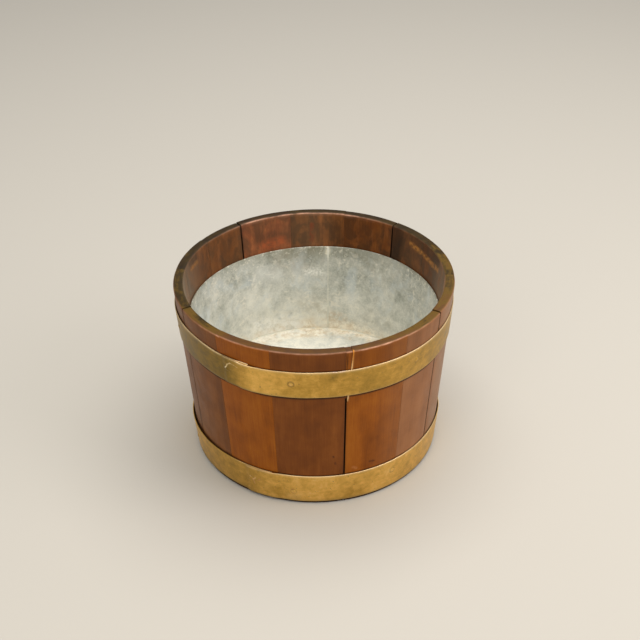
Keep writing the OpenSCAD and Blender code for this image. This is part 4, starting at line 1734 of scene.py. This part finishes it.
@dataclass(frozen=True)
class Liner:
    """The zinc liner: a hemmed and lapped wall, a flanged floor and the solder that joins them.

    Args:
        top: Height of the wall's upper edge.
        base: Height of the floor's underside.
        sheet: Thickness of the zinc.
        gap: Clearance between hem or flange and the staves.
        fold: Gap inside a fold.
        hem: Depth of the hem.
        flange: Height of the floor's flange.
        seam_at: Bearing of the free edge at the wall's lap.
        seam_lap: Width of that lap.
        seam_solder: Width of the solder along it.
        fillet: Size of the solder in the corner.
        waves: Bearing, reach and height of each wave of the upper edge.
        waves_from: Height from which those waves grow, and over which height.
        swells: Turns round the wall, phase and lean of each of its shallow dents.
        back: Bearing round which tide mark, crust and dirt gather.
    """

    top: float = 240 * MM
    base: float = 76.3 * MM
    sheet: float = 1.0 * MM
    gap: float = 1.0 * MM
    fold: float = 0.1 * MM
    hem: float = 8 * MM
    flange: float = 5 * MM
    seam_at: float = 173.0
    seam_lap: float = 12 * MM
    seam_solder: float = 3 * MM
    fillet: float = 2.0 * MM
    waves: tuple[tuple[float, float, float], ...] = ((148.0, 22.0, 1.6 * MM), (198.0, 40.0, -2.8 * MM))
    waves_from: tuple[float, float] = (200 * MM, 40 * MM)
    swells: tuple[tuple[int, float, float], ...] = (
        (3, 0.4, 1.1), (5, 2.1, -1.6), (8, 4.0, 2.3), (13, 1.2, -2.9),
    )
    back: float = 178.0

    @property
    def floor(self) -> float:
        """Height of the floor's upper face."""
        return self.base + self.sheet

    def wall(self, z: Array | float) -> Array:
        """Outer radius of the wall at height z."""
        return TUB.inner(z) - self.gap - self.sheet - self.fold

    def dents(self, bearings: Array, z: Array) -> Array:
        """How far the wall is pushed inwards: long shallow dents, gone at the hem and the floor.

        Args:
            bearings: Bearings.
            z: Heights.

        Returns:
            The distance at each place, below 0 inwards.
        """
        share = (z - self.floor) / (self.top - self.floor)
        level = smooth_step(share * 5.0) * (1.0 - smooth_step((share - 0.8) * 5.0))
        b = np.radians(bearings)
        wave = 0.0
        for turns, phase, lean in self.swells:
            wave = wave + np.sin(turns * b + phase + lean * 2.0 * share) / math.sqrt(turns)
        return -0.35 * MM * level * (0.8 + wave)

    def lift(self, bearings: Array, z: Array) -> Array:
        """How far the wall's upper end rises or dips: two bells by bearing and a small sine.

        Args:
            bearings: Bearings.
            z: Heights.

        Returns:
            The distance upwards at each place.
        """
        total = 0.25 * MM * np.sin(np.radians(bearings) * 4.0 + 1.0)
        for bearing, reach, rise in self.waves:
            total = total + rise * bell(turn_between(bearings, bearing), reach)
        low, over = self.waves_from
        return total * smooth_step((z - low) / over)

    def finish_values(self, bearings: Array, z: Array) -> dict[str, Array]:
        """What the wall's finish reads: nearness to the floor, the corner's dirt, and the tide mark with
        painted shade on the upper edge.

        Args:
            bearings: Bearings.
            z: Heights.

        Returns:
            Each value by name.
        """
        turn = turn_between(bearings, self.back)
        under = (self.top - z) / (1.0 + 1.6 * bell(turn, 30.0))
        tide = (1.0 - smooth_step(under / (16 * MM))) * (0.35 + 0.65 * bell(turn, 26.0))
        return {
            "low": 1.0 - np.clip((z - self.floor) / (130 * MM), 0.0, 1.0),
            "corner": bell(z - self.floor, 18 * MM) * (0.25 + 0.75 * bell(turn, 42.0)),
            # The top edge takes the tide mark's colour as painted shade of the gap beside the staves
            "tide": np.maximum(tide, smooth_step((z - self.top + 1.6 * MM) / (1.0 * MM))),
        }

    def wall_section(self) -> Array:
        """Radius and height round the wall's sheet: up inside, over the hem, down and back outside.

        Returns:
            The section's points, one row each.
        """
        spacing = 3.0 * MM
        fold_r = self.sheet + self.fold / 2.0
        fold_z = self.top - fold_r
        hem_z = self.top - self.hem
        up = np.linspace(self.floor, fold_z, math.ceil((fold_z - self.floor) / spacing))
        k = np.linspace(math.pi, 0.0, 11)[1:-1]
        middle = self.wall(fold_z) + self.fold / 2.0
        over = np.stack((middle + fold_r * np.cos(k), fold_z + fold_r * np.sin(k)), axis=1)
        outer = np.linspace(fold_z, hem_z, 5)
        back = np.linspace(fold_z, self.floor, 24)
        return np.concatenate((
            np.stack((self.wall(up) - self.sheet, up), axis=1),
            over,
            np.stack((self.wall(outer) + self.fold + self.sheet, outer), axis=1),
            np.stack((self.wall(outer[::-1]) + self.fold, outer[::-1]), axis=1),
            np.stack((self.wall(back), back), axis=1),
        ))

    def wall_shells(self) -> list[Shell]:
        """The wall as a closed ring, and the tab that laps over it at the seam as a thin curved plate.

        Returns:
            Both surfaces.
        """
        section = self.wall_section()
        bearings = np.linspace(0.0, 360.0, 420, endpoint=False)[:, None]
        r, z = section[None, :, 0], section[None, :, 1] + 0.0 * bearings
        ring = place(bearings, r + self.dents(bearings, z), z + self.lift(bearings, z))
        wall = Shell(ring, ring=True, values=self.finish_values(bearings, z))
        low, high = self.floor + 2.6 * MM, self.top - self.sheet * 1.1
        width = math.degrees(self.seam_lap / self.wall(self.top))
        deep, wide, corner = self.sheet, self.seam_lap, 0.3 * MM
        s, depths = eased_run(high - low, 4 * MM, corner)
        corners = ((0.0, 0.0, corner), (deep, 0.0, corner), (deep, wide, corner), (0.0, wide, corner))
        plate = inset(rounded_profile(corners, 1.5 * MM), depths)
        height = (low + s)[:, None] + 0.0 * plate[..., 0]
        bearing = self.seam_at + width * plate[..., 1] / self.seam_lap
        radius = self.wall(height) + self.dents(bearing, height) - self.sheet / 2.0 - plate[..., 0]
        tab = place(bearing, radius, height + self.lift(bearing, height))
        return [wall, Shell(tab, values=self.finish_values(bearing, height))]

    def disc(self, profile: Array, seed: int, uneven: float) -> Shell:
        """A round plate turned from its profile, whose flat middle rises and falls a little.

        Args:
            profile: Radius and height from the middle of the top, round the edge, to the middle below.
            seed: Picks the waves.
            uneven: Height of the waves.

        Returns:
            The plate's surface.
        """
        around = np.linspace(0.0, 360.0, 240, endpoint=False)[None, :]
        r, z = profile[:, :1] + 0.0 * around, profile[:, 1:] + 0.0 * around
        x, y = r * np.sin(np.radians(around)), r * np.cos(np.radians(around))
        calm = 1.0 - smooth_step((r - 165 * MM) / (20 * MM))
        z = z + uneven * calm * ripple(x / (38 * MM), y / (38 * MM), seed)
        edge = self.wall(self.floor) - self.sheet
        turn = turn_between(around, self.back)
        ragged = 3.5 * ripple(x / (5 * MM), y / (5 * MM), seed + 1)
        stained = (33 - 15 * smooth_step((turn + 10.0) / 18.0) + ragged) * MM
        dull = smooth_step((r - edge + stained) / (9 * MM)) * bell(turn, 44.0)
        lit = smooth_step((r * np.cos(np.radians(turn)) - 45 * MM) / (60 * MM))
        # On the floor, low carries a painted pool of light over the far part, less where the stain by the
        # back wall is
        values = {
            "low": 0.1 + 1.12 * lit - 0.85 * dull,
            "corner": smooth_step((r - edge + 40 * MM) / (30 * MM)) * (0.2 + 0.65 * bell(turn, 40.0)),
        }
        return Shell(place(around, r, z), values=values)

    def floor_shell(self) -> Shell:
        """The floor: a flat disc whose edge turns up outside the wall.

        Returns:
            The surface.
        """
        edge = float(self.wall(self.base)) + self.fold + self.sheet
        top = self.base + self.flange
        under_top = float(self.wall(top)) + self.fold
        inner = float(self.wall(self.floor)) + self.fold
        middle, outside = np.linspace(2 * MM, inner - 8 * MM, 60), np.linspace(inner - 6 * MM, inner, 4)
        radii = np.concatenate((middle, outside))
        flat = np.stack((radii, np.full(len(radii), self.floor)), axis=1)
        rim = np.array((
            (under_top, top),
            (under_top + self.sheet, top),
            (edge, self.base + 0.6 * MM),
            (edge - 0.6 * MM, self.base),
        ))
        under = np.stack((radii[::-4], np.full(len(radii[::-4]), self.base)), axis=1)
        return self.disc(np.concatenate((flat, rim, under[1:])), 31, 0.18 * MM)

    def seam_shell(self) -> Shell:
        """The run of solder along the tab's free edge: a low bead, uneven in width and height.

        Returns:
            The surface.
        """
        low, high = self.floor + 2.6 * MM, self.top - self.sheet * 1.05
        s, depths = eased_run(high - low, 1.2 * MM, 0.25 * MM)
        k = np.linspace(0.0, 2.0 * math.pi, 20, endpoint=False)[None, :]
        z = (low + s)[:, None] + 0.0 * k
        swell = 1.0 + 0.22 * ripple(z / (7 * MM), 0.0 * z, 41) + 0.35 * bell(z - high + 9 * MM, 6 * MM)
        shrink = 1.0 - depths[:, None] / (0.25 * MM) * 0.9
        across = self.seam_solder / 2.0 * np.cos(k) * swell * shrink
        deep = 0.38 * MM * np.sin(k) * swell * shrink
        bearing = self.seam_at - np.degrees((self.seam_solder * 0.36 + across) / self.wall(self.top))
        radius = self.wall(z) + self.dents(bearing, z) - self.sheet - 0.25 * MM - deep
        values = {
            "grime": 0.6 * bell(z - low, 12 * MM) + 0.0 * k,
            # Paler up the seam: a painted highlight on the lap's edge
            "light": smooth_step((z - 200 * MM) / (28 * MM)) + 0.0 * k,
        }
        return Shell(place(bearing, radius, z + self.lift(bearing, z)), values=values)

    def fillet_shell(self) -> Shell:
        """The solder in the corner between wall and floor, a hollow fillet with thick and thin places.

        Its face goes from the floor to the wall through ((1 - k)^1.6, k^1.6) times its size, for k
        from 0 to 1.

        Returns:
            The surface.
        """
        edge = float(self.wall(self.floor)) - self.sheet
        k = np.linspace(0.0, 1.0, 9)
        face = np.stack((-((1.0 - k) ** 1.6), 0.02 + 0.98 * k**1.6), axis=1)
        section = np.concatenate((face, np.array(((0.15, 1.0), (0.15, 0.02)))))
        bearings = np.linspace(0.0, 360.0, 420, endpoint=False)[:, None]
        b = np.radians(bearings)
        swell = 1.0 + 0.14 * np.sin(7 * b + 1.0) + 0.10 * np.sin(19 * b) + 0.08 * np.sin(43 * b + 2.0)
        size = self.fillet * swell
        r = edge + section[None, :, 0] * size
        z = self.floor + section[None, :, 1] * size
        behind = bell(turn_between(bearings, self.back), 36.0)
        values = {"grime": (0.35 + 0.65 * behind) + 0.0 * r, "light": 0.2 + 0.0 * r}
        return Shell(place(bearings, r, z), ring=True, values=values)

    def make(self) -> None:
        """Builds, dresses and places the liner's pieces."""
        zinc = Zinc(edge_height=self.top, stains_and_highlights=LINER_MARKS_AND_HIGHLIGHTS).build()
        solder = Solder().build()
        for node, form, slot, shells, material in (
            ("liner_wall", "sheet", "liner_zinc", self.wall_shells(), zinc),
            ("liner_floor", "sheet", "liner_zinc", [self.floor_shell()], zinc),
            ("liner_seam_solder", "bead", "solder", [self.seam_shell()], solder),
            ("liner_floor_solder", "bead", "solder", [self.fillet_shell()], solder),
        ):
            piece = build_piece(f"{node}_{form}", shells)
            piece.data.materials.append(material)
            settle(piece, "liner", slot, node)


# Placing and dressing


def settle(piece: bpy.types.Object, body: str, slot: str, node: str) -> None:
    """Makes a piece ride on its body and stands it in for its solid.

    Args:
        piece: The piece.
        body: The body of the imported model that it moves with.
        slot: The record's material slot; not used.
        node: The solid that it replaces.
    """
    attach(piece, body)
    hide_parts(node)
    LOG.info("%s: %d faces, on %s, for %s", piece.name, len(piece.data.polygons), body, node)


def dress(solid: bpy.types.Object, material: bpy.types.Material) -> None:
    """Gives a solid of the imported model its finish.

    Args:
        solid: The solid.
        material: The finish.
    """
    if not solid.data.materials:
        solid.data.materials.append(material)
    for slot in solid.material_slots:
        slot.material = material
    LOG.info("%s: keeps its solid, in %s", solid.name, material.name)


# The picture


@dataclass(frozen=True)
class Lamp:
    """A square soft light that faces the tub.

    Args:
        name: Name of the light.
        bearing: Where it stands round the tub.
        elevation: How high it stands, in degrees.
        distance: From the tub's middle.
        size: Side of the square.
        power: In watts.
        colour: Its tint.
    """

    name: str
    bearing: float
    elevation: float
    distance: float
    size: float
    power: float
    colour: tuple[float, float, float]


def stand(thing: bpy.types.Object, axes: Sequence[Array], where: Array) -> None:
    """Turns an object's own axes to the given ones, puts it in its place and adds it to the scene.

    Args:
        thing: The object.
        axes: The directions of its three axes.
        where: Its place.
    """
    rows = [[*(axis[i] for axis in axes), where[i]] for i in range(3)]
    thing.matrix_world = Matrix([*rows, [0, 0, 0, 1]])
    bpy.context.scene.collection.objects.link(thing)


@dataclass(frozen=True)
class Studio:
    """A pale floor, soft lights and a camera at the photograph's viewing angle.

    The camera's angles and distance are those at which the tub's rim, foot and bands fall where the
    photograph has them, in a frame of 640 by 640.

    Args:
        frame_px: Side of the photograph.
        focal_px: Focal length, in the photograph's pixels.
        middle_px: Where the camera's axis meets the photograph.
        distance: From the camera to the point that it looks at.
        elevation: How far it looks down, in degrees.
        roll: How far it is turned about its own axis.
        target_height: Height of the point that it looks at.
        floor_colour: Colour of the floor.
        sky_colour: Colour of the light all round.
        sky_strength: Its strength.
        lamps: The soft lights.
    """

    frame_px: float = 640.0
    focal_px: float = 1250.0
    middle_px: tuple[float, float] = (314.6, 320.5)
    distance: float = 2.0201
    elevation: float = 32.99
    roll: float = 0.85
    target_height: float = 0.2137
    floor_colour: Colour = srgb(183, 179, 171)
    sky_colour: Colour = (1.0, 0.98, 0.95, 1.0)
    sky_strength: float = 0.50
    lamps: tuple[Lamp, ...] = (
        Lamp("overhead", 120.0, 82.0, 3.0, 3.2, 112.0, (1.0, 0.97, 0.92)),
        Lamp("right", 70.0, 34.0, 2.8, 1.5, 24.0, (1.0, 0.93, 0.90)),
        Lamp("front", -20.0, 38.0, 3.0, 1.5, 20.0, (1.0, 0.95, 0.86)),
    )

    def add_camera(self) -> None:
        """Puts the camera on its bearing, rolled about its own axis."""
        data = bpy.data.cameras.new("camera")
        data.sensor_width = 36.0
        data.lens = self.focal_px / self.frame_px * data.sensor_width
        data.shift_x = (self.frame_px / 2.0 - self.middle_px[0]) / self.frame_px
        data.shift_y = (self.middle_px[1] - self.frame_px / 2.0) / self.frame_px
        data.clip_start, data.clip_end = 0.05, 60.0
        e, roll = math.radians(self.elevation), math.radians(self.roll)
        right = np.array((1.0, 0.0, 0.0))
        up = np.array((0.0, math.sin(e), math.cos(e)))
        back = np.array((0.0, -math.cos(e), math.sin(e)))
        rolled = (
            math.cos(roll) * right - math.sin(roll) * up,
            math.sin(roll) * right + math.cos(roll) * up,
            back,
        )
        camera = bpy.data.objects.new("camera", data)
        stand(camera, rolled, np.array((0.0, 0.0, self.target_height)) + self.distance * back)
        bpy.context.scene.camera = camera

    def add_floor(self) -> None:
        """Lays a large plain floor, matt and pale."""
        half = 9.0
        mesh = bpy.data.meshes.new("floor")
        corners = [(-half, -half, 0.0), (half, -half, 0.0), (half, half, 0.0), (-half, half, 0.0)]
        mesh.from_pydata(corners, [], [(0, 1, 2, 3)])
        floor = bpy.data.objects.new("floor", mesh)
        bpy.context.scene.collection.objects.link(floor)
        shader = Shader("floor")
        shader.set(base_color=self.floor_colour, roughness=0.85, specular_ior_level=0.2)
        mesh.materials.append(shader.material)

    def add_lamp(self, lamp: Lamp) -> None:
        """Hangs a light.

        Args:
            lamp: The light.
        """
        data = bpy.data.lights.new(lamp.name, "AREA")
        data.shape, data.size, data.energy, data.color = "SQUARE", lamp.size, lamp.power, lamp.colour
        e = math.radians(lamp.elevation)
        out, rise = lamp.distance * math.cos(e), lamp.distance * math.sin(e)
        flat = place(np.array(lamp.bearing), np.array(out), np.array(rise))
        back = flat / np.linalg.norm(flat)
        side = np.cross((0.0, 0.0, 1.0), back)
        side = side / np.linalg.norm(side)
        light = bpy.data.objects.new(lamp.name, data)
        stand(light, (side, np.cross(back, side), back), flat + np.array((0.0, 0.0, TUB.height / 2.0)))

    def add_sky(self) -> None:
        """Fills the room with even pale light."""
        world = bpy.data.worlds.new("sky")
        world.use_nodes = True
        sky = world.node_tree.nodes["Background"]
        sky.inputs[0].default_value = self.sky_colour
        sky.inputs[1].default_value = self.sky_strength
        bpy.context.scene.world = world

    def make(self) -> None:
        """Sets up the floor, lights, sky and camera."""
        self.add_camera()
        self.add_floor()
        self.add_sky()
        for lamp in self.lamps:
            self.add_lamp(lamp)
        view = bpy.context.scene.view_settings
        view.view_transform = "Standard"
        view.look = "None"


# What is particular to this planter

# Depths of the faces that marks lie on, inwards from the staves' outer face
INSIDE = TUB.wall
LINER_FACE = 19.1 * MM
SEAM_FACE = 19.6 * MM
SEAM_END = 20 * MM
ON_LAP = -3.2 * MM
ON_BAND = -1.9 * MM

BRUISE = srgb(40, 20, 12)
SCUFF = srgb(176, 118, 52)
STAVE_MARKS: Mapping[Tone, tuple[Mark, ...]] = {
    Tone.BROWN: (
        Mark((7.1, 97.5), (7.2, 95.5), 1.6, 1.4, BRUISE),
        Mark((7.9, 84), (8.1, 81.5), 1.8, 1.5, BRUISE),
        Mark((109.2, 276.4), (117.5, 278.4), 4, 4.5, SCUFF, 0.8, INSIDE, 160),
        Mark((101.8, 280.2), (109.2, 276.4), 4, 4.5, SCUFF, 0.8, INSIDE, 160),
        Mark((248.5, 282.6), (255.8, 283.8), 3.5, 4, srgb(156, 104, 50), 0.7, INSIDE, 160),
    ),
    Tone.AMBER: (
        Mark((24, 72.8), (25.8, 71.4), 2, 2, srgb(46, 22, 12)),
        Mark((16.1, 69), (17.4, 66), 1.6, 3, srgb(190, 128, 78), 0.5),
        Mark((-41, 298.8), (-39.6, 298.6), 1, 1.2, srgb(236, 190, 160), 0.8),
    ),
    Tone.UMBER: (
        Mark((118.6, 278.4), (127.3, 282.6), 4, 4.5, SCUFF, 0.8, INSIDE, 160),
        Mark((180.6, 279), (180.8, 250), 3, 4, srgb(132, 60, 34), 0.6, INSIDE, 160),
    ),
    Tone.RED: (
        Mark((196, 252), (204, 249), 8, 10, srgb(168, 84, 46), 0.6, INSIDE, 130),
    ),
}
LINER_MARKS_AND_HIGHLIGHTS = (
    Mark((176.5, 190), (184, 191.5), 5, 7, srgb(238, 238, 230), 0.9, LINER_FACE, 300),
    Mark((165.6, 100), (170.4, 101), 13, 9, srgb(188, 164, 128), 0.55, LINER_FACE, 130),
    Mark((208, 199), (200.5, 192), 12, 18, srgb(230, 231, 224), 0.5, LINER_FACE, 0),
    Mark((174, 120), (183, 122), 14, 22, srgb(172, 167, 148), 0.6, LINER_FACE, 60),
    Mark((190, 104), (214, 108), 12, 26, srgb(232, 228, 212), 0.6, LINER_FACE, 90),
    Mark((213, 98), (192, 87), 16, 20, srgb(242, 241, 234), 0.75, LINER_FACE, 130),
    Mark((163, 82), (148, 84), 12, 12, srgb(244, 238, 222), 0.8, LINER_FACE, 150),
    Mark((149, 112), (137, 118), 14, 22, srgb(146, 145, 128), 0.5, LINER_FACE, 60),
    Mark((187, 212), (196, 214), 12, 24, srgb(164, 156, 138), 0.5, LINER_FACE, 60),
    # Painted highlight on the solder at the seam's top
    Mark((172.9, 227), (172.8, 235), 4.5, 4, srgb(240, 232, 210), 0.9, SEAM_END, 220),
    Mark((150, 222), (138, 218), 16, 34, srgb(146, 146, 132), 0.7, LINER_FACE, 60),
    Mark((207, 150), (226, 158), 18, 34, srgb(226, 226, 216), 0.55, LINER_FACE, 60),
    # Painted highlight down the lap's edge at the seam
    Mark((173.3, 224), (173.8, 168), 2.2, 4.5, srgb(228, 228, 220), 0.3, SEAM_FACE, 120),
)
UPPER_BAND = Band(
    name="upper_band",
    low=219 * MM,
    width=48 * MM,
    lap_at=-38.5,
    pins=(Pin(-9.5, 0.01, 1), Pin(44, 0.02, 0.4), Pin(97, -0.02), Pin(151, 0.04), Pin(203, 0),
          Pin(244, -0.04), Pin(285, 0.02)),
    slack=(Slack(-76, 12, 0.9 * MM), Slack(84, 22, 0.1 * MM), Slack(5, 14, 0.3 * MM)),
    levels=((-38.5, 0.9 * MM), (-32.4, 0.5 * MM), (-29.6, -1.2 * MM), (-21.6, -2.6 * MM),
            (-10.5, -1.4 * MM), (2, -0.3 * MM), (22, -0.9 * MM), (34, -1.8 * MM), (47, -2.3 * MM), (90, 0),
            (180, 0), (250, 1.0 * MM), (290, 2.5 * MM), (307, 3.6 * MM), (321.5, 0.8 * MM),
            (327.6, 0.4 * MM), (330, 1.0 * MM), (333.2, 0.4 * MM), (340, -1.0 * MM)),
    polish=((-180, -0.2), (-90, -0.5), (-50, -1.1), (-38, -1), (-24, 0.6), (-4, 0.3), (11, -0.3),
            (30, 0.05), (50, -0.2), (70, -0.45), (180, -0.2)),
    edge_wear_and_highlight=((-180, 0.2), (-80, 0.3), (-58, 0.9), (-40, 1.1), (-38, 0.4), (-33, 0.5), (-31, 1.1),
               (-27, 1.1), (-25.5, 0.6), (-15, 0.8), (10, 1), (60, 1), (90, 0.4), (180, 0.2)),
    nicks=((8.3, 0.5, 0.7 * MM), (9.6, 0.8, 0.6 * MM)),
    lower_edge_shade=0.25,
    marks=(
        Mark((-37.1, 246.8), (-37, 247.8), 2.2, 1.2, srgb(255, 242, 210), 1, ON_LAP, 0),
        Mark((-37, 247.8), (-36, 255.5), 1.1, 0.8, srgb(246, 224, 172), 0.65, ON_LAP, 0),
        Mark((-36, 255.5), (-34.6, 259.4), 1.1, 0.8, srgb(244, 218, 166), 0.9, ON_LAP, 90),
        Mark((-34.6, 259.4), (-33, 258.4), 1, 0.8, srgb(232, 202, 148), 0.8, ON_LAP, 90),
        Mark((-33, 258.4), (-31.3, 256), 1, 0.8, srgb(228, 196, 140), 0.8, ON_LAP, 90),
        # Painted highlights on the top edge beside its nicks
        Mark((6.6, 266.9), (8, 266.4), 1.4, 0.8, srgb(255, 226, 200), 0.9, ON_BAND, 0),
        Mark((9.4, 266.2), (11.2, 266.5), 1.4, 0.8, srgb(255, 226, 200), 0.9, ON_BAND, 0),
    ),
)
LOWER_BAND = Band(
    name="lower_band",
    low=4 * MM,
    width=53 * MM,
    lap_at=-33,
    pins=(Pin(-10.5, -0.12, 0.45), Pin(36, 0.11, 0.7), Pin(98, -0.04), Pin(152, 0.02),
          Pin(204, 0.06), Pin(245, 0), Pin(286, -0.06)),
    slack=(Slack(-74, 26, 2.6 * MM), Slack(86, 13, 2.0 * MM), Slack(0, 22, 0.3 * MM)),
    levels=((-33, 0.5 * MM), (0, 0.6 * MM), (90, 0), (250, 0), (300, 1.2 * MM), (324, 2.0 * MM),
            (330, 1.4 * MM), (340, 0.5 * MM)),
    polish=((-180, -0.1), (-90, 0.45), (-45, 0.1), (-36, 0.05), (-18, 0.4), (-4, 0.7), (16, 0.1),
            (36, 0.55), (60, 0.25), (180, -0.1)),
    edge_wear_and_highlight=((-180, 0.1), (-45, 0.05), (-30, 0.4), (-10, 0.75), (30, 0.9), (60, 0.75), (80, 0.3),
               (180, 0.1)),
    lower_edge_shade=0.9,
    marks=(
        Mark((-31, 38), (-29.6, 33), 1.2, 0.9, srgb(236, 200, 146), 0.6, ON_LAP, 0),
        Mark((-29.6, 33), (-28.2, 37.5), 1.2, 0.9, srgb(232, 196, 140), 0.6, ON_LAP, 0),
        Mark((-29.5, 33), (-28.8, 25), 1.1, 0.9, srgb(210, 160, 112), 0.55, ON_LAP, 0),
        Mark((-27.4, 33), (-25.6, 38.5), 1.4, 1.4, srgb(206, 142, 100), 0.7, ON_LAP, 90),
        Mark((-11, 28), (-10.6, 22), 2.6, 2, srgb(158, 96, 48), 0.6, ON_BAND),
        Mark((-12.5, 14), (-8.5, 13), 6, 4, srgb(214, 178, 112), 0.5, ON_BAND),
    ),
)


def main() -> None:
    """Builds the planter from its sub-assemblies, then the studio."""
    logging.basicConfig(level=logging.INFO, format="%(message)s")
    Studio().make()
    Staves(bands=(UPPER_BAND, LOWER_BAND), marks=STAVE_MARKS).make()
    Head().make()
    for band in (UPPER_BAND, LOWER_BAND):
        band.make()
        PinRow(band).make()
    Liner().make()


if __name__ == "__main__":
    main()
